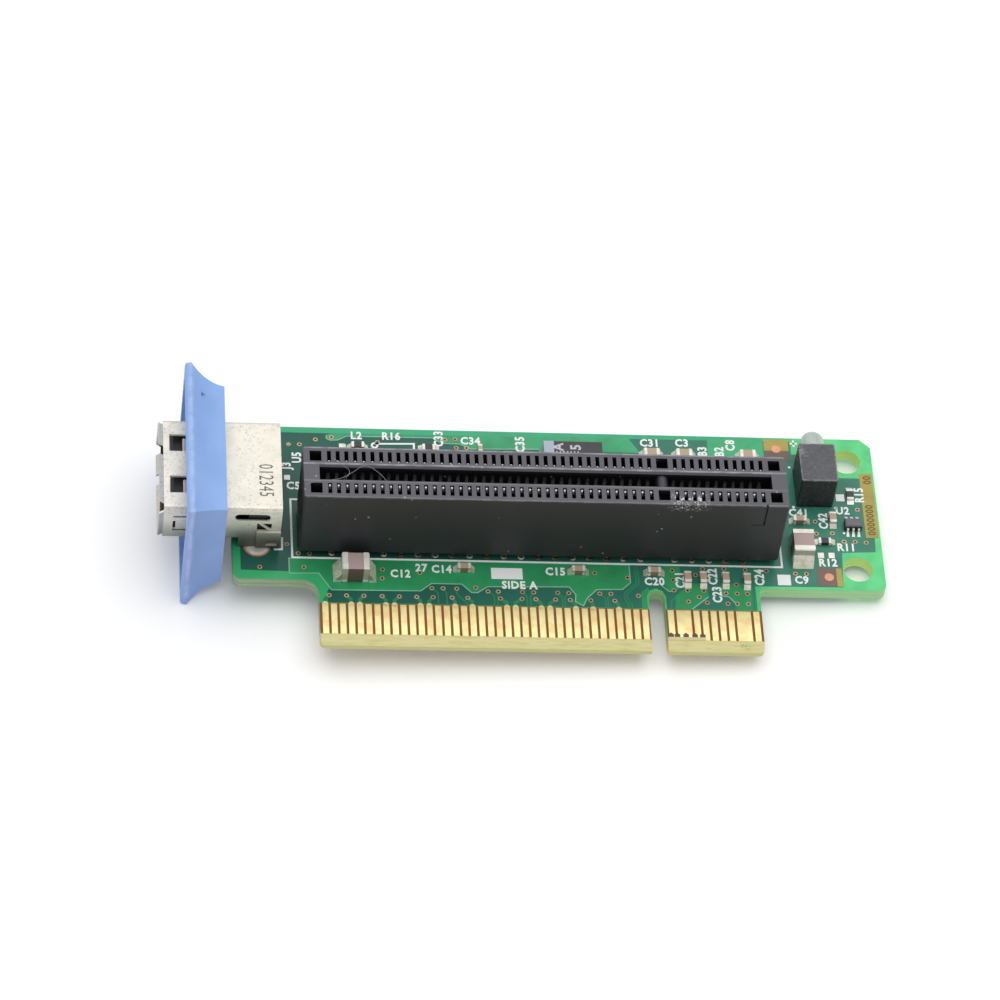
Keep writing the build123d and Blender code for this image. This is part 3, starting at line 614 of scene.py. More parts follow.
@dataclass(frozen=True)
class SlotFinish(PlasticFinish):
    """The slot's black moulding: its top painted grey as sheen, painted highlights along the groove's rims and
    outer edges, painted shade in the groove, its walls near black.
    """

    # pale colour of the painted rim highlights, and of the dust specks and lint
    rim_highlight_and_dust: Colour = ink("a9aab0")
    # painted sheen: the grey that upward faces take
    top_sheen_grey: Colour = ink("616067")
    top: float = 11.25
    centre_y: float = 15.95
    bite_x: float = 2.8
    bite_y: float = 12.9
    bite_reach: float = 2.9

    def dress(self, tree: ShaderTree) -> Signal:
        """Adds painted highlights along the groove's rims and the outer edges, dust specks and lint, painted
        shade down in the groove, and a bite of bright scuffs on the near rim.
        """
        x, y, z = tree.axes()
        _, _, up = tree.facing()
        clouds = tree.noise(4.0, 5.0)
        grain = tree.noise(self.grain, 2.0)
        from_groove = abs(y - self.centre_y)
        top = z.rise(self.top - 0.25, self.top - 0.05)
        # painted highlight on the groove's rims and the outer edges, stronger on the far side and broken up by
        # noise
        far = 0.35 + y.rise(self.centre_y - 0.5, self.centre_y + 0.5) * 0.65
        highlight_breakup = 0.3 + tree.noise(0.6, 5.0, 0.7, tree.stretched(0.4, 2.0, 1.0)).rise(0.4, 0.58) * 0.7
        rim = from_groove.within(1.12, 1.36, 0.05).most(from_groove.rise(3.42, 3.5)) * top * highlight_breakup * far
        # painted shade: the groove and the cavities darken below the top
        deep = z.rise(self.top - 0.15, self.top - 0.9) * from_groove.rise(3.45, 3.3)
        near_bite = abs(x - self.bite_x).rise(self.bite_reach, self.bite_reach * 0.3)
        near_bite = near_bite * abs(y - self.bite_y).rise(1.2, 0.4) * z.rise(self.top - 1.4, self.top - 0.6)
        near_bite = near_bite * tree.noise(0.3, 5.0, 0.7).rise(0.54, 0.59)
        specks = tree.cells(1.6).rise(0.1, 0.06) * tree.noise(3.0, 2.0).rise(0.45, 0.6)
        hairs = tree.noise(0.5, 6.0, 0.75, tree.stretched(1.5, 1.5, 0.35)).rise(0.68, 0.74)
        # painted sheen: faces turned up go lighter grey, varied by the clouds
        top_sheen_mask = up.rise(0.3, 0.9)
        colour = tree.mix(top_sheen_mask * (0.7 + clouds * 0.55).least(1.0), self.tone, self.top_sheen_grey)
        colour = tree.mix(deep, colour, ink("17171a"))
        # painted rim highlights together with real dust specks and lint
        worn = (rim * 0.8 + specks * 0.7 + hairs * 0.16).least(1.0)
        colour = tree.mix(worn, colour, self.rim_highlight_and_dust)
        colour = tree.mix(near_bite, colour, ink("ececf0"))
        rough = self.rough + (clouds - 0.5) * 0.16
        normal = tree.bump(grain * 0.6 + near_bite * 0.8, self.depth)
        return tree.surface(
            Base_Color=colour, Roughness=rough, Normal=normal, Specular_Level=self.specular
        )


@dataclass(frozen=True)
class CollarFinish(PlasticFinish):
    """The collar's blue moulding: a painted highlight on its rim, painted shade on faces that don't face up, a
    few dark flecks, soft light in its walls.
    """

    fleck: Colour = ink("32405e")

    def dress(self, tree: ShaderTree) -> Signal:
        """Blue plastic with faint flow clouds, a pale painted highlight on the rim, painted shade on its side
        faces and one dark fleck on its top.
        """
        x, y, z = tree.axes()
        clouds = tree.noise(5.0, 4.0)
        grain = tree.noise(self.grain, 2.0)
        _, _, up = tree.facing()
        # painted highlight along the rounded front rim
        ridge_highlight = x.within(-54.5, -53.9, 0.2) * tree.noise(1.2, 4.0).rise(0.3, 0.6)
        fleck = abs(x + 52.76).rise(0.3, 0.1) * abs(y - 27.2).rise(0.45, 0.15) * z.rise(9.0, 9.5)
        fleck = fleck * tree.noise(0.3, 3.0).rise(0.38, 0.55)
        smear = tree.noise(0.9, 5.0, 0.65, tree.stretched(1.0, 0.35, 1.0)).rise(0.6, 0.75)
        colour = tree.mix(clouds.rise(0.3, 0.7), self.tone, self.scuff)
        # painted shade: faces that don't turn up take a duller blue
        colour = tree.mix(up.rise(0.4, -0.1) * 0.4, colour, ink("8fa3dc"))
        colour = tree.mix(ridge_highlight * 0.45, colour, ink("c3d2f5"))
        colour = tree.mix(smear * 0.14, colour, ink("7b98d2"))
        colour = tree.mix(fleck, colour, self.fleck)
        return tree.surface(
            Base_Color=colour, Roughness=self.rough + (clouds - 0.5) * 0.12,
            Normal=tree.bump(grain, self.depth), Specular_Level=self.specular,
            Subsurface_Weight=self.skin, Subsurface_Radius=(0.6, 0.8, 1.2), Subsurface_Scale=MM,
        )


@dataclass(frozen=True)
class CeramicFinish(Finish):
    """Fired ceramic with a fine grain, painted paler above and darker on its sides as light and shade."""

    # painted light and shade: the lit colour of the top and the shaded colour of the sides
    above: Colour = ink("b8a29f")
    shaded_side: Colour = ink("60504a")

    def dress(self, tree: ShaderTree) -> Signal:
        """Ceramic."""
        grain = tree.noise(0.12, 4.0, 0.6)
        _, _, up = tree.facing()
        # painted light and shade by which way the face turns
        colour = tree.mix(up.rise(0.2, 0.9), self.shaded_side, self.above)
        colour = tree.mix(grain.rise(0.55, 0.8) * 0.4, colour, ink("c4b4ac"))
        return tree.surface(
            Base_Color=colour, Roughness=0.42 + (grain - 0.5) * 0.2, Normal=tree.bump(grain, 0.01)
        )


@dataclass(frozen=True)
class StripedFinish(Finish):
    """A black epoxy moulding with a pale stripe across one end."""

    stripe_from: float = -12.6
    stripe_to: float = -11.1
    tone: Colour = ink("434348")
    stripe: Colour = ink("b4bace")

    def dress(self, tree: ShaderTree) -> Signal:
        """Black moulding with its stripe."""
        x, _, _ = tree.axes()
        grain = tree.noise(0.1, 3.0, 0.6)
        clouds = tree.noise(2.0, 3.0)
        ragged = x + (tree.noise(0.25, 2.0) - 0.5) * 0.12
        band = ragged.within(self.stripe_from, self.stripe_to, 0.04)
        colour = tree.mix(clouds.rise(0.4, 0.7), self.tone, ink("3c3d41"))
        colour = tree.mix(band, colour, self.stripe)
        return tree.surface(
            Base_Color=colour, Roughness=0.5 + (grain - 0.5) * 0.2, Normal=tree.bump(grain, 0.01)
        )


@dataclass(frozen=True)
class EpoxyFinish(Finish):
    """Clear epoxy, slightly milky."""

    tone: Colour = ink("e9efec")

    def dress(self, tree: ShaderTree) -> Signal:
        """Clear moulding with faint clouds in its gloss."""
        clouds = tree.noise(0.9, 3.0)
        colour = tree.mix(clouds.rise(0.35, 0.7), self.tone, ink("d3dcd8"))
        return tree.surface(
            Base_Color=colour, Roughness=0.16 + (clouds - 0.5) * 0.1, Transmission_Weight=0.4,
            IOR=1.5, Normal=tree.bump(tree.noise(0.3, 2.0), 0.004),
        )


@dataclass(frozen=True)
class InkFinish(Finish):
    """Printed ink: slightly uneven, and worn thin in places."""

    tone: Colour = ink("fbfdfc")
    thin: Colour = ink("dbe8e1")

    def dress(self, tree: ShaderTree) -> Signal:
        """Matt ink."""
        grain = tree.noise(0.18, 4.0, 0.6)
        colour = tree.mix(grain.rise(0.56, 0.75) * 0.5, self.tone, self.thin)
        return tree.surface(
            Base_Color=colour, Roughness=0.55 + (grain - 0.5) * 0.2, Normal=tree.bump(grain, 0.006)
        )


FINISHES: dict[str, Finish] = {
    "board": BoardFinish("board_laminate"),
    "deep": MaskFinish("mask_over_inner_plane", ink("205e50"), ink("3d8670")),
    "pour": MaskFinish("mask_over_copper_pour", ink("319c62"), ink("3ea468")),
    "far_pour": MaskFinish("mask_over_far_pour", ink("3fa070"), ink("48b97f")),
    "track": MaskFinish("mask_over_track", ink("2a8a60"), ink("3f9a6c")),
    "edge_line": MaskFinish("mask_edge_line", ink("8cc7a8"), ink("9ad4b5")),
    "strip": MaskFinish("bare_strip", ink("b8a655"), ink("b8a655")),
    "laminate": MaskFinish("bare_laminate_edge", ink("dbcf96"), ink("dbcf96")),
    "mauve": MaskFinish("bare_laminate_nick", ink("5c4038"), ink("6b4a48")),
    "brown": MaskFinish("bare_laminate_window", ink("7d675e"), ink("7d675e")),
    "white_ink": InkFinish("white_ink"),
    "brown_ink": InkFinish("brown_ink", ink("75602a"), ink("8f7a3c")),
    "pale_ink": InkFinish("pale_ink", ink("c9c9cf"), ink("a7a7ae")),
    "jet_ink": InkFinish("jet_ink", ink("6b675f"), ink("8d887c")),
    "hole": MaskFinish("hole_shadow", ink("2a1710"), ink("2a1710")),
    "gold": MetalFinish(
        "gold_plate", ink("fff0b0"), ink("f3cd8a"), 0.36, scratch_x=6.0, scratch_y=0.3, grain=0.5,
        metallic=0.6,
    ),
    "spring": SpringFinish("spring_metal", ink("8b8883"), ink("605e59"), 0.4, metallic=0.5),
    "contact": MetalFinish("contact_gold", ink("c9a860"), ink("9d8043"), 0.35),
    # plain white for the spring tips: a painted glint
    "spark": MetalFinish("spring_tip_painted_glint", ink("ffffff"), ink("fbfbfa"), 0.35, metallic=0.0),
    "tin": ShellFinish(
        "tin_plate", ink("f1ecde"), ink("e4decd"), 0.42, scratch_x=1.6, metallic=0.4, speckle=0.38
    ),
    "cap_end": EndCapFinish(
        "end_cap_tin", ink("fbf8f0"), ink("ddd6c8"), 0.45, grain=0.08, depth=0.012, metallic=0.25
    ),
    # solder fillets: the same painted shade on their steep walls, greener
    "solder": EndCapFinish(
        "solder", ink("faf6e6"), ink("c4c09c"), 0.3, grain=0.3, depth=0.04, metallic=0.4,
        wall_shade=ink("7d8465"), wetted=0.45,
    ),
    "dull_solder": MetalFinish(
        "dull_solder", ink("e2dfd4"), ink("a9a292"), 0.45, grain=0.3, depth=0.03, metallic=0.3
    ),
    "joint": JointFinish(
        "tail_solder", ink("cfc9bb"), ink("8e8478"), 0.4, grain=0.12, depth=0.03, metallic=0.5
    ),
    "copper": MetalFinish("bare_copper", ink("efae88"), ink("e19a72"), 0.5, metallic=0.15),
    "ring": MetalFinish("leg_ring_copper", ink("d99a72"), ink("b97a55"), 0.5, metallic=0.4),
    "via": MetalFinish("via_ring", ink("cfae8c"), ink("a98a66"), 0.5, metallic=0.4),
    "slot": SlotFinish("slot_plastic", ink("2a2b2f"), ink("77787e"), rough=0.45, specular=0.35),
    "holder": HolderFinish("holder_plastic", ink("1c1d21"), ink("8c8d94"), 0.48, dust=0.3),
    "inside": PlasticFinish("receptacle_plastic", ink("17181a"), ink("55565a"), 0.5),
    "collar": CollarFinish("collar_plastic", ink("94b8f0"), ink("8aafea"), 0.46, skin=0.12),
    "mould": PlasticFinish("chip_moulding", ink("26272a"), ink("8d8e94"), 0.5, dust=0.5),
    "glaze": PlasticFinish("resistor_glaze", ink("25252a"), ink("6d6e73"), 0.35, dust=0.15),
    "ceramic": CeramicFinish("fired_ceramic"),
    "tan_ceramic": CeramicFinish("tan_ceramic", above=ink("bda98c"), shaded_side=ink("8a7862")),
    "tantalum": StripedFinish("striped_moulding"),
    "epoxy": EpoxyFinish("clear_epoxy"),
    "fibre": InkFinish("dust_fibre", ink("b9bac0"), ink("8d8e94")),
}


# Forms


class Former:
    """Collects forms, given in millimetres, and makes one piece of them."""

    def __init__(self, name: str) -> None:
        """Starts an empty piece."""
        self.name = name
        self.mesh = bmesh.new()

    def prism(
        self, outline: Sequence[Point], low: float, high: float, upper: Sequence[Point] = ()
    ) -> None:
        """A solid on an outline in plan, given anticlockwise.

        Args:
            outline: Its foot.
            low, high: Its lowest and highest level.
            upper: Its top, point for point, where that differs from its foot.
        """
        below = [self.mesh.verts.new((x, y, low)) for x, y in outline]
        above = [self.mesh.verts.new((x, y, high)) for x, y in upper or outline]
        self.mesh.faces.new(below[::-1])
        self.mesh.faces.new(above)
        count = len(outline)
        for i in range(count):
            j = (i + 1) % count
            self.mesh.faces.new((below[i], below[j], above[j], above[i]))

    def box(self, x0: float, x1: float, y0: float, y1: float, low: float, high: float) -> None:
        """A box between two corners."""
        self.prism([(x0, y0), (x1, y0), (x1, y1), (x0, y1)], low, high)

    def lathe(
        self, x: float, y: float, profile: Sequence[Point], sides: int = 20, closed: bool = False
    ) -> None:
        """A turned form about an upright axis.

        Args:
            x, y: The axis.
            profile: Points of radius and height. A radius of 0 closes the form.
            sides: How many flats a full turn has.
            closed: Whether the profile's last point joins its first, as in a ring.
        """
        rings = []
        for radius, height in profile:
            if radius == 0:
                rings.append([self.mesh.verts.new((x, y, height))] * sides)
                continue
            turn = [2 * math.pi * k / sides for k in range(sides)]
            rings.append([
                self.mesh.verts.new((x + radius * math.cos(a), y + radius * math.sin(a), height))
                for a in turn
            ])
        pairs = list(zip(rings, rings[1:]))
        if closed:
            pairs.append((rings[-1], rings[0]))
        for lower, upper in pairs:
            for k in range(sides):
                j = (k + 1) % sides
                corners = [lower[k], lower[j], upper[j], upper[k]]
                distinct = list(dict.fromkeys(corners))
                if len(distinct) > 2:
                    self.mesh.faces.new(distinct)

    def ring(self, x: float, y: float, outer: float, inner: float, low: float, high: float) -> None:
        """A flat ring."""
        self.lathe(x, y, [(outer, low), (outer, high), (inner, high), (inner, low)], closed=True)

    def disc(self, x: float, y: float, radius: float, low: float, high: float, sides: int = 16) -> None:
        """A flat disc."""
        self.lathe(x, y, [(0, low), (radius, low), (radius, high), (0, high)], sides)

    def stroke(self, points: Sequence[Point], width: float, low: float, high: float) -> None:
        """A flat band of one width that follows points in plan, with mitred corners."""
        left, right = [], []
        for i, here in enumerate(points):
            before = Vector(points[max(i - 1, 0)])
            after = Vector(points[min(i + 1, len(points) - 1)])
            into = (Vector(here) - before).normalized()
            away = (after - Vector(here)).normalized()
            into = into if into.length else away
            away = away if away.length else into
            middle = (into + away).normalized()
            reach = width / 2 / max(middle.dot(into), 0.4)
            side = Vector((-middle.y, middle.x)) * reach
            left.append((here[0] + side.x, here[1] + side.y))
            right.append((here[0] - side.x, here[1] - side.y))
        for i in range(len(points) - 1):
            self.prism([right[i], right[i + 1], left[i + 1], left[i]], low, high)

    def words(
        self, text: str, x: float, y: float, height: float, low: float, high: float,
        turn: float = 0.0, squeeze: float = 1.0, weight: float = 0.05,
    ) -> None:
        """Plain characters, centred on a point.

        Args:
            text: What is written.
            x, y: The middle of the text.
            height: The height of a capital.
            low, high: The bottom and top of the ink.
            turn: Degrees, anticlockwise.
            squeeze: The width of the characters against their usual width.
            weight: How much each stroke is thickened.
        """
        capital_share = 0.729
        curve = bpy.data.curves.new("text_form", "FONT")
        curve.body = text
        curve.size = height / capital_share
        curve.align_x = "CENTER"
        curve.align_y = "CENTER"
        curve.space_character = 1.1
        curve.offset = weight
        curve.resolution_u = 2
        curve.extrude = (high - low) / 2
        carrier = bpy.data.objects.new("text_form", curve)
        bpy.context.scene.collection.objects.link(carrier)
        bpy.context.view_layer.update()
        flat = bpy.data.meshes.new_from_object(carrier.evaluated_get(bpy.context.evaluated_depsgraph_get()))
        turned = Matrix.Translation((x, y, (low + high) / 2)) @ Matrix.Rotation(math.radians(turn), 4, "Z")
        flat.transform(turned @ Matrix.Diagonal((squeeze, 1, 1, 1)))
        self.mesh.from_mesh(flat)
        bpy.data.objects.remove(carrier)
        bpy.data.curves.remove(curve)
        bpy.data.meshes.remove(flat)

    def finish(self, finish: str, slot: Slot, body: str = CARD, smooth: bool = False) -> bpy.types.Object:
        """Makes the piece, in metres, with its finish and the body it rides on.

        Args:
            finish: The finish's key.
            slot: The record's slot. Not used.
            body: The body that it rides on.
            smooth: Whether its faces are shaded as one curved surface.

        Returns:
            The new object.
        """
        bmesh.ops.remove_doubles(self.mesh, verts=self.mesh.verts, dist=1e-5)
        bmesh.ops.recalc_face_normals(self.mesh, faces=self.mesh.faces)
        bmesh.ops.scale(self.mesh, vec=(MM, MM, MM), verts=self.mesh.verts)
        data = bpy.data.meshes.new(self.name)
        self.mesh.to_mesh(data)
        self.mesh.free()
        if smooth:
            data.shade_smooth()
        piece = bpy.data.objects.new(self.name, data)
        bpy.context.scene.collection.objects.link(piece)
        data.materials.append(FINISHES[finish].material())
        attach(piece, body)
        LOG.info("%s: %d faces", self.name, len(data.polygons))
        return piece


def paint(node: str, finish: str) -> None:
    """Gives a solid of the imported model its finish.

    Args:
        node: The solid's node.
        finish: The finish's key.
    """
    target = frame["nodes"][node]
    material = FINISHES[finish].material()
    if not target.material_slots:
        target.data.materials.append(material)
    for place in target.material_slots:
        place.material = material
    LOG.info("%s: %s", node, material.name)


def size_of(node: str) -> tuple[Vector, Vector]:
    """The lowest and highest corners of a node, in millimetres."""
    low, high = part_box(node)
    return Vector(low) / MM, Vector(high) / MM


# Sub-assemblies


@dataclass
class Layers:
    """Heights of what lies on the board, above its face."""

    plane: float = 0.008
    pour: float = 0.016
    track: float = 0.026
    line: float = 0.034
    pad: float = 0.05
    ink: float = 0.05
    ink_depth: float = 0.02

    def span(self, side: Side, top: float) -> tuple[float, float]:
        """The bottom and top of a layer that is this thick, on one face of the board."""
        board_low, board_high = size_of("circuit_board")
        if side is Side.TOP:
            return board_high.z, board_high.z + top
        return board_low.z - top, board_low.z


LAYERS = Layers()


@dataclass
class Board:
    """The board's finish, the copper that shows through its mask, and its vias."""

    plane_near: float = 5.8
    via_outer: float = 0.29
    via_inner: float = 0.14
    line_width: float = 0.13
    track_width: float = 0.16

    inner_plane: tuple[Point, ...] = (
        (-48.1, 10.3), (-39.2, 10.1), (-37.9, 7.9), (-38.2, 7.4), (-38.2, 5.8), (-1.1, 5.8),
        (-1.1, 7.6), (-0.75, 8.4), (0.0, 8.75), (0.75, 8.4), (1.1, 7.6), (1.1, 5.8), (11.7, 5.8), (11.7, 9.35), (22.1, 9.45), (22.4, 14.55),
        (26.4, 14.75), (26.5, 16.83), (25.46, 16.86), (25.5, 25.75), (23.1, 25.75), (21.6, 26.9),
        (21.6, 29.0), (17.6, 29.2), (17.6, 31.1), (-36.0, 30.8), (-48.1, 30.8),
    )
    left_pour: tuple[Point, ...] = (
        (-42.5, 9.9), (-39.1, 10.0), (-37.7, 7.6), (-27.4, 7.7), (-26.1, 8.8), (-22.6, 8.8),
        (-21.5, 7.6), (-20.8, 7.6), (-19.6, 8.5), (-10.1, 8.7), (-9.4, 7.6), (-9.5, 6.6),
        (-8.6, 6.0), (-8.1, 7.1), (-6.9, 8.4), (-3.9, 8.5), (-2.9, 9.5), (-2.9, 12.1), (-42.5, 12.1),
    )
    right_pours: tuple[tuple[Point, ...], ...] = (
        ((-1.75, 5.85), (-1.1, 5.85), (-1.1, 7.6), (-0.75, 8.4), (-0.9, 8.9), (-1.75, 8.2)),
        ((1.5, 8.35), (2.4, 8.35), (3.0, 9.2), (3.0, 12.1), (0.95, 12.1), (0.95, 9.4)),
        ((2.15, 5.85), (4.1, 5.85), (6.1, 7.65), (6.1, 9.6), (4.1, 9.6), (2.25, 7.5)),
        ((9.3, 5.85), (11.1, 5.85), (11.25, 9.7), (7.7, 9.7), (7.65, 7.85), (8.5, 7.7), (9.3, 6.7)),
    )
    right_lines: tuple[tuple[Point, ...], ...] = (
        ((4.1, 5.85), (6.1, 7.65)), ((7.65, 7.85), (8.5, 7.7), (9.3, 6.7)),
        ((0.6, 9.3), (1.5, 8.35), (2.0, 8.35)),
    )
    far_right_pour: tuple[Point, ...] = (
        (7.55, 28.3), (14.3, 28.3), (14.3, 31.45), (7.65, 31.3),
    )
    far_middle_pour: tuple[Point, ...] = (
        (-12.5, 28.6), (-4.9, 28.9), (-0.5, 28.9), (-1.8, 31.2), (-12.5, 31.0),
    )
    far_pour: tuple[Point, ...] = (
        (-37.6, 30.5), (-37.6, 30.0), (-37.2, 29.75), (-36.3, 29.8), (-35.2, 30.42), (-25.1, 30.44),
        (-23.95, 29.66), (-21.8, 29.6), (-20.6, 28.9), (-12.5, 29.1), (-12.5, 30.95), (-37.2, 30.75),
    )
    far_line_end: int = 10
    vias: tuple[Point, ...] = (
        (-42.7, 14.1), (-45.9, 10.7), (-41.4, 12.8), (-40.1, 12.8), (-40.8, 10.8), (-31.7, 10.7),
        (-31.8, 9.4), (-27.4, 10.3), (-26.1, 8.1), (-24.8, 8.1), (-23.2, 8.1), (-21.0, 8.3),
        (-19.6, 7.8), (-18.4, 7.8), (-15.6, 7.8), (-14.3, 7.8), (-11.5, 7.8), (-10.2, 7.8),
        (-7.0, 10.8), (-3.2, 10.2), (-6.6, 7.8), (-5.3, 7.8), (-2.1, 7.6), (2.1, 11.4),
        (2.1, 10.0), (2.1, 8.5), (4.8, 10.8), (5.7, 11.7), (3.7, 8.5), (5.6, 8.5), (5.0, 7.6),
        (3.7, 6.9), (5.9, 6.8), (8.2, 11.8), (8.2, 8.2), (9.5, 9.5), (9.5, 8.2), (8.3, 6.7),
        (9.4, 6.7), (10.7, 11.7), (10.7, 8.2), (10.7, 6.7), (19.6, 19.1), (24.8, 21.0),
        (19.6, 17.3), (21.5, 17.4), (22.8, 16.2), (24.1, 16.2), (25.4, 16.1), (16.6, 11.3),
        (17.9, 11.3), (13.2, 11.6), (-38.9, 29.8), (-37.0, 30.2), (-31.6, 29.6), (-23.6, 30.2),
        (-22.4, 30.3), (-22.3, 29.0), (-21.1, 29.0), (-42.1, 29.0), (-40.8, 29.0),
    )
    dog_leg_row: float = 6.8
    dog_legs: tuple[Point, ...] = (
        (-38.0, -38.5), (-36.0, -35.5), (-34.0, -34.5), (-31.9, -31.5), (-29.9, -30.5),
        (-27.9, -27.5), (-26.0, -26.5), (-23.8, -23.5), (-22.0, -21.5), (-18.2, -17.5),
        (-15.7, -16.5), (-14.1, -13.5), (-11.8, -12.5), (-10.1, -9.5), (-7.7, -7.5), (-4.9, -4.5),
    )
    tracks: tuple[tuple[Point, ...], ...] = (
        ((-26.1, 8.1), (-25.4, 7.5), (-25.4, 5.7)),
        ((-24.8, 8.1), (-24.4, 7.4), (-24.4, 5.7)),
        ((-23.2, 8.1), (-23.2, 7.3), (-21.8, 5.7)),
        ((-19.6, 7.8), (-18.9, 7.2), (-18.9, 5.7)),
        ((-18.4, 7.8), (-18.5, 7.2), (-18.5, 5.7)),
        ((-15.6, 7.8), (-15.1, 7.2), (-15.1, 5.7)),
        ((-14.3, 7.8), (-14.7, 7.2), (-14.7, 5.7)),
        ((-11.5, 7.8), (-11.0, 7.2), (-11.0, 5.7)),
        ((-10.2, 7.8), (-10.7, 7.2), (-10.7, 5.7)),
        ((-6.6, 7.8), (-6.0, 7.2), (-6.0, 5.7)),
        ((-5.3, 7.8), (-5.7, 7.2), (-5.7, 5.7)),
        ((-2.0, 12.0), (-1.9, 9.4), (-3.4, 7.9), (-3.4, 7.2), (-2.9, 6.3), (-2.9, 5.7)),
        ((-2.3, 12.0), (-2.2, 9.5), (-3.7, 8.0), (-3.7, 7.1), (-3.3, 6.3), (-3.3, 5.7)),
        ((3.0, 8.5), (1.7, 6.9), (1.6, 5.7)),
        ((9.25, 6.5), (9.1, 5.7)),
        ((11.7, 11.8), (11.5, 5.7)),
        ((11.4, 11.8), (11.2, 5.7)),
    )

    def build(self) -> None:
        """Dresses the board and lays its copper and vias."""
        paint("circuit_board", "board")
        paint("bare_pads", "cap_end")
        self._plane()
        self._pours()
        self._tracks()
        self._vias()
        self._windows()

    def _plane(self) -> None:
        """The inner plane, which shows dark through the laminate."""
        low, high = LAYERS.span(Side.TOP, LAYERS.plane)
        form = Former("inner_plane_tone")
        form.prism(self.inner_plane, low, high)
        form.finish("deep", Slot.MASK)

    def _pours(self) -> None:
        """Copper pours with the pale line round each."""
        low, high = LAYERS.span(Side.TOP, LAYERS.pour)
        _, line = LAYERS.span(Side.TOP, LAYERS.track)
        form = Former("copper_pours")
        rims = Former("copper_pour_rims")
        far = Former("far_copper_pours")
        for outline in (self.left_pour, *self.right_pours):
            form.prism(outline, low, high)
        for route in (self.left_pour + self.left_pour[:1], *self.right_lines):
            rims.stroke(route, self.line_width, low, line)
        for outline in (self.far_pour, self.far_middle_pour, self.far_right_pour):
            far.prism(outline, low, high)
        rims.stroke(self.far_pour[:self.far_line_end], self.line_width, low, line)
        form.finish("pour", Slot.MASK)
        far.finish("far_pour", Slot.MASK)
        rims.finish("edge_line", Slot.MASK)

    def _tracks(self) -> None:
        """Short dog-legs from the vias to the fingers, and the longer tracks."""
        low, high = LAYERS.span(Side.TOP, LAYERS.track)
        form = Former("board_tracks")
        for via_x, finger_x in self.dog_legs:
            middle = self.dog_leg_row - 0.55
            route = [(via_x, self.dog_leg_row), (finger_x, middle), (finger_x, self.plane_near - 0.1)]
            form.stroke(route, 2.6 * self.track_width, low, high)
        for route in self.tracks:
            form.stroke(route, self.track_width, low, high)
        form.finish("track", Slot.MASK)

    def _vias(self) -> None:
        """Plated holes, each a ring with a dark disc of painted shadow in its mouth."""
        low, high = LAYERS.span(Side.TOP, LAYERS.pad)
        rings = Former("via_rings")
        mouths = Former("via_mouth_shadows")
        row = [(via_x, self.dog_leg_row) for via_x, _ in self.dog_legs]
        for x, y in list(self.vias) + row:
            rings.ring(x, y, self.via_outer, self.via_inner, low, high)
            mouths.disc(x, y, self.via_inner + 0.01, low, high - 0.012)
        rings.finish("via", Slot.COPPER, smooth=False)
        mouths.finish("hole", Slot.COPPER)

    def _windows(self) -> None:
        """The brown windows round the sighting marks and the bare strip at the short side."""
        low, high = LAYERS.span(Side.TOP, LAYERS.line)
        brown = Former("sighting_windows")
        brown.box(14.35, 17.3, 28.0, 29.68, low, high)
        brown.box(19.15, 21.45, 9.55, 12.27, low, high)
        brown.finish("brown", Slot.MASK)
        strip = Former("bare_strip")
        strip.box(25.46, 27.0, 16.83, 26.48, low, high)
        strip.box(14.4, 17.35, 29.68, 31.35, low, high)
        strip.box(21.45, 22.1, 9.55, 12.2, low, high)
        strip.finish("strip", Slot.MASK)
        figures = Former("strip_figures")
        low, high = LAYERS.span(Side.TOP, LAYERS.ink)
        figures.words("0000000", 26.28, 19.5, 0.95, low, high, turn=90, squeeze=0.92, weight=0.03)
        figures.words("00", 26.4, 25.5, 0.95, low, high, turn=90, squeeze=0.92, weight=0.03)
        figures.finish("brown_ink", Slot.MASK)
        dots = Former("sighting_marks")
        _, top = LAYERS.span(Side.TOP, LAYERS.pad + 0.02)
        for x, y in ((15.85, 29.9), (20.55, 10.88)):
            dots.disc(x, y, 0.55, low, top, sides=28)
        dots.finish("copper", Slot.COPPER)


@dataclass
class CardEdge:
    """The gold fingers, and the nicked tie lines at their tips."""

    nick_places: tuple[float, ...] = (1.33, 2.05, 3.05, 4.1, 5.0)
    nick_size: float = 0.66
    nick_depth: float = 0.42
    bare_from: float = 0.95
    bare_to: float = 5.35
    bare_depth: float = 0.42
    finger_tip: float = 1.3
    finger_top: float = 5.6
    crown_radius: float = 0.33

    def build(self) -> None:
        """Dresses the fingers, rounds those that a track joins, and adds the nicks."""
        paint("gold_fingers_top", "gold")
        paint("gold_fingers_bottom", "gold")
        low, high = LAYERS.span(Side.TOP, LAYERS.pad)
        crowns = Former("finger_crowns")
        for _, x in BOARD.dog_legs:
            crowns.disc(x, self.finger_top, self.crown_radius, low, high, 14)
        crowns.finish("gold", Slot.GOLD)
        tip, half = self.finger_tip, self.nick_size / 2
        bare = Former("worn_finger_tips")
        bare.box(self.bare_from, self.bare_to, tip - 0.02, tip + self.bare_depth, low, high + 0.012)
        bare.finish("laminate", Slot.MASK)
        nicks = Former("finger_nicks")
        for x in self.nick_places:
            start = tip + self.bare_depth
            nicks.box(x - half, x + half, start, start + self.nick_depth, low, high + 0.014)
            nicks.disc(x, start + self.nick_depth, 0.6 * half, low, high + 0.013, 8)
        nicks.finish("mauve", Slot.MASK)


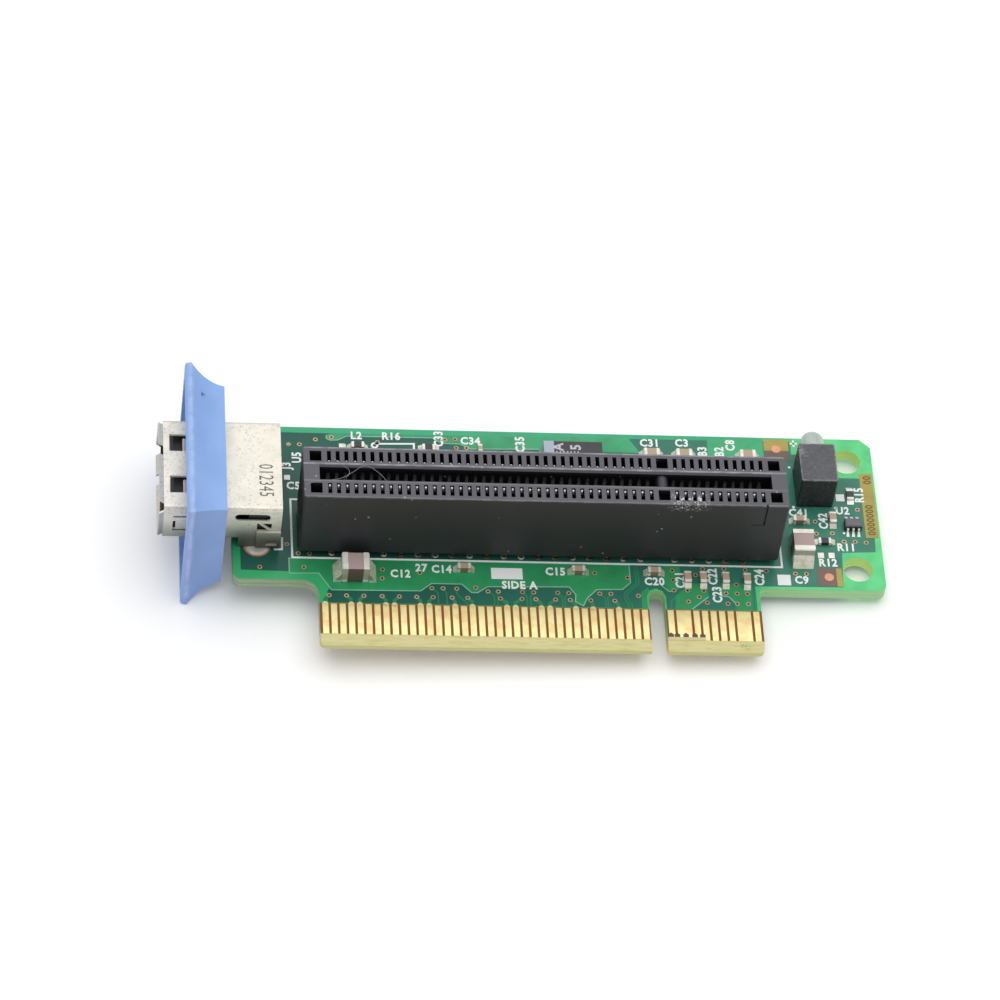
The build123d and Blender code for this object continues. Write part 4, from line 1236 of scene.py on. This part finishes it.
@dataclass
class SlotDress:
    """The slot: its plastic, its springs, the solder round its tails and the lint on it."""

    pitch: float = 1.0
    first: float = 1.5
    short_count: int = 11
    long_count: int = 38
    centre_y: float = 15.95
    outer_row: float = 3.0
    inner_row: float = 1.0
    pad_radius: float = 0.42
    tip_reach: float = 1.76
    tip_radius: float = 0.13
    tip_low: float = 10.4
    tip_high: float = 11.08

    def places(self) -> list[tuple[float, float]]:
        """X and Y of every tail."""
        short = [self.first + self.pitch * i for i in range(self.short_count)]
        long = [-self.first - self.pitch * i for i in range(self.long_count)]
        found = []
        for x in short + long:
            odd = round(x - self.first) % 2 == 1
            near = self.outer_row if odd else self.inner_row
            far = self.inner_row if odd else self.outer_row
            found.append((x, self.centre_y - near))
            found.append((x, self.centre_y + far))
        return found

    def build(self) -> None:
        """Dresses the slot and its tails."""
        paint("slot_housing", "slot")
        paint("slot_contacts_near", "spring")
        paint("slot_contacts_far", "spring")
        self._solder()
        self._tips()
        self._lint()

    def _solder(self) -> None:
        """A collar of solder round each tail on both faces of the board."""
        _, above = LAYERS.span(Side.TOP, LAYERS.pad)
        below, _ = LAYERS.span(Side.BOTTOM, LAYERS.pad)
        radius = self.pad_radius
        joints = Former("slot_tail_solder")
        for x, y in self.places():
            joints.lathe(x, y, [
                (radius, above - 0.049), (radius, above), (0.34, above + 0.06), (0.27, above + 0.16),
                (0.27, above - 0.049),
            ], 12, closed=True)
            joints.lathe(x, y, [
                (radius, below + 0.049), (radius, below), (0.33, below - 0.22), (0.24, below - 0.62),
                (0.0, below - 0.72),
            ], 12)
        joints.finish("joint", Slot.SOLDER, smooth=True)

    def _tips(self) -> None:
        """A white peg at the cut end of each spring, a painted glint that shows in its cavity."""
        tips = Former("spring_tip_glints")
        radius, low, high = self.tip_radius, self.tip_low, self.tip_high
        for x, y in self.places():
            side = -1 if y < self.centre_y else 1
            middle = self.centre_y + side * self.tip_reach
            tips.lathe(x, middle, [
                (0, low), (radius, low + 0.04), (radius, high - 0.06), (0.7 * radius, high - 0.02), (0, high),
            ], 8)
        tips.finish("spark", Slot.CONTACT, smooth=True)

    def _lint(self) -> None:
        """A few pale fibres that lie across the slot's far left end."""
        routes = (
            [(-41.4, 13.9, 11.3), (-40.0, 14.7, 11.32), (-37.5, 15.0, 11.0), (-35.8, 16.0, 11.2),
             (-34.6, 17.0, 11.4), (-33.6, 16.6, 11.38), (-32.4, 15.6, 11.2), (-31.8, 14.7, 11.0)],
            [(-38.0, 17.9, 11.33), (-37.0, 16.9, 11.36), (-35.9, 16.1, 11.2), (-36.6, 15.3, 11.1)],
        )
        for number, route in enumerate(routes):
            curve = bpy.data.curves.new(f"lint_{number}", "CURVE")
            curve.dimensions = "3D"
            curve.bevel_depth = 0.018 * MM
            curve.bevel_resolution = 1
            curve.resolution_u = 8
            spline = curve.splines.new("NURBS")
            spline.points.add(len(route) - 1)
            for point, place in zip(spline.points, route):
                point.co = (*(Vector(place) * MM), 1.0)
            spline.order_u = 3
            spline.use_endpoint_u = True
            carrier = bpy.data.objects.new(f"lint_{number}", curve)
            bpy.context.scene.collection.objects.link(carrier)
            curve.materials.append(FINISHES["fibre"].material())
            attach(carrier, CARD)
            LOG.info("lint_%d", number)


@dataclass
class UsbPort:
    """The receptacle and the solder round its legs and tails."""

    leg_x: float = -46.15
    leg_near: float = 13.8
    leg_far: float = 26.4
    ring_radius: float = 1.6
    ring_width: float = 0.2
    tail_x: float = -44.35
    centre_y: float = 20.1
    tails: tuple[float, ...] = (-3.5, -1.0, 1.0, 3.5)
    shell_top: float = 7.05

    def build(self) -> None:
        """Dresses the receptacle, and adds its solder and the figures on its top."""
        paint("usb_shell", "tin")
        paint("usb_insulator", "inside")
        paint("usb_contacts", "contact")
        low, high = LAYERS.span(Side.TOP, LAYERS.pad)
        below, under = LAYERS.span(Side.BOTTOM, LAYERS.pad)
        radius, inner = self.ring_radius, self.ring_radius - self.ring_width
        rings = Former("leg_rings")
        joints = Former("leg_solder")
        for y in (self.leg_near, self.leg_far):
            rings.ring(self.leg_x, y, radius, inner, low, high)
            rings.ring(self.leg_x, y, radius, inner, below, under)
            joints.lathe(self.leg_x, y, [(inner, low), (inner, high), (1.0, high + 0.08), (0.0, high + 0.14)], 28)
            joints.lathe(self.leg_x, y, [
                (inner, under), (inner, below), (1.0, below - 0.25), (0.5, below - 0.75), (0.0, below - 0.9),
            ], 28)
        for offset in self.tails:
            joints.lathe(self.tail_x, self.centre_y + offset, [
                (0.75, under), (0.75, below), (0.5, below - 0.25), (0.3, below - 0.75), (0.0, below - 0.9),
            ], 16)
        rings.finish("ring", Slot.COPPER)
        joints.finish("dull_solder", Slot.SOLDER, smooth=True)
        figures = Former("shell_figures")
        figures.words(
            "012345", -45.5, 17.86, 1.75, self.shell_top, self.shell_top + 0.012, turn=-90, squeeze=0.62,
            weight=-0.005,
        )
        figures.finish("jet_ink", Slot.TIN)


@dataclass
class Indicator:
    """The indicator light in its holder."""

    lead_places: tuple[float, ...] = (18.43, 20.97)
    lead_y: float = 22.9

    def build(self) -> None:
        """Dresses the light."""
        paint("led_holder", "holder")
        paint("led_lens", "epoxy")
        paint("led_leads", "dull_solder")
        below, under = LAYERS.span(Side.BOTTOM, LAYERS.pad)
        joints = Former("light_lead_solder")
        for x in self.lead_places:
            joints.lathe(x, self.lead_y, [
                (0.7, under), (0.7, below), (0.45, below - 0.25), (0.3, below - 0.7), (0.0, below - 0.85),
            ], 16)
        joints.finish("dull_solder", Slot.SOLDER, smooth=True)


@dataclass
class ChipParts:
    """The small parts on the board."""

    capacitor_top: float = 2.8
    switch_x: float = 23.98
    switch_y: float = 18.45
    switch_pitch: float = 0.65
    foot_from: float = 0.95
    foot_to: float = 1.12
    fillet_to: float = 1.5
    fillet_high: float = 0.2
    fillet_half: float = 0.2
    fillet_top_half: float = 0.13

    def build(self) -> None:
        """Dresses every chip part."""
        paint("power_capacitor_bodies", "ceramic")
        paint("chip_capacitor_bodies", "tan_ceramic")
        for node in ("power_capacitor_ends", "chip_capacitor_ends", "resistor_ends", "tantalum_tabs"):
            paint(node, "cap_end")
        paint("switch_chip_leads", "cap_end")
        paint("resistor_bodies", "glaze")
        paint("solder_fillets", "solder")
        paint("tantalum_body", "tantalum")
        paint("switch_chip_body", "mould")
        figures = Former("capacitor_figures")
        low, high = self.capacitor_top, self.capacitor_top + 0.012
        for text, x in (("A", -10.55), ("5", -8.5)):
            figures.words(text, x, 27.25, 1.25, low, high, turn=90)
        for step in range(7):
            figures.box(-10.9 + 0.42 * step, -10.72 + 0.42 * step, 26.45, 26.62, low, high)
        figures.finish("pale_ink", Slot.BLACK)
        self._switch_solder()

    def _switch_solder(self) -> None:
        """A sloping fillet of solder from each foot of the six-lead chip to its pad."""
        low, _ = LAYERS.span(Side.TOP, LAYERS.pad)
        form = Former("switch_chip_solder")
        wide, slim = self.fillet_half, self.fillet_top_half
        for side in (-1, 1):
            start, knee, end = (
                self.switch_y + side * reach for reach in (self.foot_from, self.foot_to, self.fillet_to)
            )
            for step in (-1, 0, 1):
                x = self.switch_x + step * self.switch_pitch
                foot = [(x - slim, start), (x - wide, end), (x + wide, end), (x + slim, start)]
                top = [(x - slim, start), (x - slim, knee), (x + slim, knee), (x + slim, start)]
                form.prism(foot[::-side], low, self.fillet_high, top[::-side])
        form.finish("cap_end", Slot.SOLDER)


@dataclass
class Print:
    """White print on the board: outlines, squares and reference marks of its own."""

    cap_height: float = 1.1
    squeeze: float = 0.86
    line: float = 0.24
    marks: tuple[tuple[str, float, float, float], ...] = (
        ("C12", -29.66, 10.09, 0), ("27", -27.2, 11.0, 0), ("C14", -24.85, 10.87, 0),
        ("C15", -11.6, 10.85, 0), ("C20", -0.09, 9.69, 0), ("C21", 2.98, 10.04, 90),
        ("C22", 6.84, 10.62, 90), ("C23", 7.2, 8.0, 90), ("C24", 12.35, 10.64, 90),
        ("C31", 0.74, 30.36, 0), ("C3", 4.59, 30.47, 0), ("C8", 10.42, 30.32, 90),
        ("B3", 7.02, 29.3, 90), ("B2", 9.04, 29.3, 90), ("C41", 17.74, 20.33, 0),
        ("C42", 20.62, 19.2, 90), ("U2", 23.0, 20.75, 0), ("R11", 22.97, 15.29, 0),
        ("R12", 20.59, 12.97, 0), ("R15", 25.24, 23.2, 90), ("C9", 17.26, 10.34, 0),
        ("L2", -34.09, 30.47, 0), ("R16", -29.97, 30.49, 0), ("C33", -24.31, 30.3, 90),
        ("C34", -20.6, 30.05, 0), ("C35", -14.67, 29.74, 90), ("J3", -42.4, 25.75, 90),
        ("SIDE A", -15.9, 8.75, 0), ("U5", -41.15, 27.0, 90), ("C5", -41.7, 22.73, 0),
    )
    squares: tuple[tuple[float, float, float, float], ...] = (
        (14.42, 15.97, 9.57, 11.1), (22.38, 23.4, 22.23, 23.27), (-42.75, -42.05, 23.65, 24.35),
        (-19.1, -15.45, 9.65, 11.25), (-36.15, -35.45, 28.7, 29.25), (-42.3, -41.9, 29.0, 29.2),
    )
    slot_frame: tuple[float, float, float, float] = (-42.1, 15.1, 12.2, 20.75)

    def build(self) -> None:
        """Prints the board."""
        low, high = LAYERS.span(Side.TOP, LAYERS.ink)
        form = Former("board_print")
        for text, x, y, turn in self.marks:
            form.words(text, x, y, self.cap_height, low, high, turn, squeeze=self.squeeze)
        for x0, x1, y0, y1 in self.squares:
            form.box(x0, x1, y0, y1, low, high)
        x0, x1, y0, y1 = self.slot_frame
        form.stroke([(x0 + 1.0, y1), (x0, y1), (x0, y0), (x1, y0), (x1, y1 - 3.0)], self.line, low, high)
        form.stroke([(-31.9, 29.34), (-27.3, 29.46), (-27.33, 28.5)], self.line, low, high)
        form.ring(-31.95, 29.1, 0.45, 0.22, low, high)
        form.stroke([(-43.21, 15.1), (-43.26, 13.34), (-44.2, 13.31)], self.line, low, high)
        form.stroke([(17.55, 30.81), (18.45, 30.81)], 0.24, low, high)
        form.stroke([(18.0, 30.3), (18.0, 31.32)], 0.24, low, high)
        for x, y in ((17.2, 27.18), (17.2, 21.2), (22.2, 21.19), (22.9, 17.45), (15.2, 24.1)):
            form.disc(x, y, 0.17, low, high, 10)
        form.finish("white_ink", Slot.MASK)


@dataclass
class Underside:
    """The solder side: its plane, tracks, vias and print."""

    finger_line: float = 5.75
    pair_half: float = 0.24
    left_pairs: tuple[float, ...] = (-36.0, -32.0, -29.0, -25.0, -21.0, -18.0, -14.0, -10.0, -7.0, -4.0)
    right_pairs: tuple[float, ...] = (4.0, 8.0, 11.0)
    tail_row: float = 12.6
    cap_height: float = 1.1
    line: float = 0.24
    marks: tuple[tuple[str, float, float, float], ...] = (
        ("SIDE B", -22.0, 27.2, 0), ("J1", -38.6, 22.0, 0), ("J2", 17.0, 18.0, 0), ("1", -40.6, 18.6, 0),
        ("C51", 6.2, 25.2, 0), ("R31", -8.0, 24.6, 0), ("7 7", -43.6, 9.6, 0),
    )
    frame: tuple[float, float, float, float] = (-42.1, 15.1, 11.4, 20.75)

    def build(self) -> None:
        """Dresses the solder side."""
        self._plane()
        self._tracks()
        self._vias()
        self._print()

    def _plane(self) -> None:
        """The inner plane."""
        low, high = LAYERS.span(Side.BOTTOM, LAYERS.plane)
        form = Former("solder_side_plane")
        form.prism(BOARD.inner_plane, low, high)
        form.finish("deep", Slot.MASK)

    def _tracks(self) -> None:
        """Pairs of tracks from the fingers to the slot's tails."""
        low, high = LAYERS.span(Side.BOTTOM, LAYERS.track)
        form = Former("solder_side_tracks")
        near, half = self.finger_line, self.pair_half
        for x in self.left_pairs + self.right_pairs:
            for side in (-1, 1):
                finger, lane = x + 0.5 * side, x + half * side
                form.stroke([
                    (finger, near), (finger, near + 0.9), (lane, near + 1.4), (lane, near + 5.0),
                    (finger, near + 5.5), (finger, self.tail_row),
                ], BOARD.track_width, low, high)
        form.stroke([(18.4, 22.9), (18.4, 12.0), (16.0, 9.8), (13.0, 9.8)], BOARD.track_width, low, high)
        form.stroke([(-44.3, 16.6), (-42.6, 15.0), (-42.6, 10.8)], BOARD.track_width, low, high)
        form.finish("track", Slot.MASK)

    def _vias(self) -> None:
        """The lower mouths of the vias, each with a dark disc of painted shadow."""
        board = BOARD
        low, high = LAYERS.span(Side.BOTTOM, LAYERS.pad)
        rings = Former("solder_side_via_rings")
        mouths = Former("solder_side_via_mouth_shadows")
        row = [(via_x, board.dog_leg_row) for via_x, _ in board.dog_legs]
        for x, y in list(board.vias) + row:
            rings.ring(x, y, board.via_outer, board.via_inner, low, high)
            mouths.disc(x, y, board.via_inner + 0.01, low + 0.012, high)
        rings.finish("via", Slot.COPPER)
        mouths.finish("hole", Slot.COPPER)

    def _print(self) -> None:
        """The slot's outline and a few marks, to be read from below."""
        low, high = LAYERS.span(Side.BOTTOM, LAYERS.ink)
        form = Former("solder_side_print")
        for text, x, y, turn in self.marks:
            form.words(text, x, y, self.cap_height, low, high, turn, squeeze=-0.86)
        x0, x1, y0, y1 = self.frame
        form.stroke([(x0, y0), (x1, y0), (x1, y1), (x0, y1), (x0, y0)], self.line, low, high)
        form.finish("white_ink", Slot.MASK)


@dataclass
class LockCollar:
    """The blue collar and the two burrs on its far edge."""

    burrs: tuple[tuple[float, float, float], ...] = ((-53.1, 30.55, 9.75), (-52.45, 29.95, 9.75))
    burr_size: float = 0.3

    def build(self) -> None:
        """Dresses the collar, and adds its burrs."""
        paint("lock_collar", "collar")
        form = Former("collar_burrs")
        half = self.burr_size / 2
        for x, y, z in self.burrs:
            form.lathe(x, y, [(0, z - half), (half, z - half), (0.6 * half, z + half), (0, z + half)], 6)
        form.finish("collar", Slot.BLUE, body=COLLAR)


@dataclass
class Studio:
    """The floor that the card lies on, the lamps and the camera."""

    lens: float = 196.2
    camera_at: tuple[float, float, float] = (-87.08, -373.136, 495.683)
    camera_to: tuple[float, float, float] = (-17.51, 21.34, 0.0)
    camera_roll: float = 9.058
    rest_high_x: float = 21.2
    rest_high_z: float = -2.7
    floor_reach: float = 4000.0
    world_level: float = 0.47
    paper_veil: float = 0.11
    key_power: float = 1.65
    key_spread: float = 75.0
    key_from: tuple[float, float, float] = (0.02, 0.12, 0.99)

    def build(self) -> None:
        """Sets up the studio."""
        self._floor()
        self._world()
        self._lamps()
        self._camera()
        bpy.context.scene.view_settings.view_transform = "Standard"

    def _floor(self) -> None:
        """A pale floor through the collar's low rim and the light's leads."""
        collar_low, _ = size_of("lock_collar")
        ridge_x = collar_low.x + 0.75
        slope = (self.rest_high_z - collar_low.z) / (self.rest_high_x - ridge_x)
        reach = self.floor_reach
        corners = [(-reach, -reach), (reach, -reach), (reach, reach), (-reach, reach)]
        places = [(x * MM, y * MM, (collar_low.z + slope * (x - ridge_x)) * MM) for x, y in corners]
        data = bpy.data.meshes.new("floor")
        data.from_pydata(places, [], [(0, 1, 2, 3)])
        floor = bpy.data.objects.new("floor", data)
        bpy.context.scene.collection.objects.link(floor)
        made = bpy.data.materials.new("floor_paper")
        tree = ShaderTree(made)
        path = tree.node("ShaderNodeLightPath")
        veil = tree.mix(path, (0.0, 0.0, 0.0, 1.0), (1.0, 1.0, 1.0, 1.0))
        tree.close(tree.surface(
            Base_Color=ink("fdfdfd"), Roughness=0.9, Specular_Level=0.0, Emission_Color=veil,
            Emission_Strength=self.paper_veil,
        ))
        data.materials.append(made)

    def _world(self) -> None:
        """An even white room, full white where it is seen."""
        world = bpy.data.worlds.new("room")
        bpy.context.scene.world = world
        tree = ShaderTree(world)
        path = tree.node("ShaderNodeLightPath")
        outputs = path.socket.node.outputs
        seen = path.most(Signal(tree, outputs["Is Transmission Ray"]))
        strength = self.world_level + seen * (1 - self.world_level)
        light = tree.node("ShaderNodeBackground", {}, {"Color": (1, 1, 1, 1), "Strength": strength})
        tree.close(light, "ShaderNodeOutputWorld")

    def _lamps(self) -> None:
        """One very wide soft light, high above the card and a little behind it."""
        lamp = bpy.data.lights.new("key_light", "SUN")
        lamp.angle = math.radians(self.key_spread)
        lamp.energy = self.key_power
        holder = bpy.data.objects.new("key_light", lamp)
        holder.rotation_euler = (-Vector(self.key_from)).to_track_quat("-Z", "Y").to_euler()
        bpy.context.scene.collection.objects.link(holder)

    def _camera(self) -> None:
        """The camera, at the photograph's viewing angle."""
        data = bpy.data.cameras.new("camera")
        data.lens = self.lens
        data.sensor_width = 36.0
        data.clip_start = 0.05
        data.clip_end = 20.0
        camera = bpy.data.objects.new("camera", data)
        place = Vector(self.camera_at) * MM
        aim = Vector(self.camera_to) * MM - place
        turn = aim.to_track_quat("-Z", "Y").to_matrix().to_4x4()
        roll = Matrix.Rotation(math.radians(self.camera_roll), 4, "Z")
        camera.matrix_world = Matrix.Translation(place) @ turn @ roll
        bpy.context.scene.collection.objects.link(camera)
        bpy.context.scene.camera = camera


BOARD = Board()


def main() -> None:
    """Builds the studio and every sub-assembly."""
    logging.basicConfig(level=logging.INFO, format="%(name)s %(message)s")
    random.seed(7)
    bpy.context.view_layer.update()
    for assembly in (
        Studio(), BOARD, CardEdge(), SlotDress(), UsbPort(), LockCollar(), Indicator(), ChipParts(),
        Print(), Underside(),
    ):
        assembly.build()
        LOG.info("built %s", type(assembly).__name__)


if __name__ == "__main__":
    main()
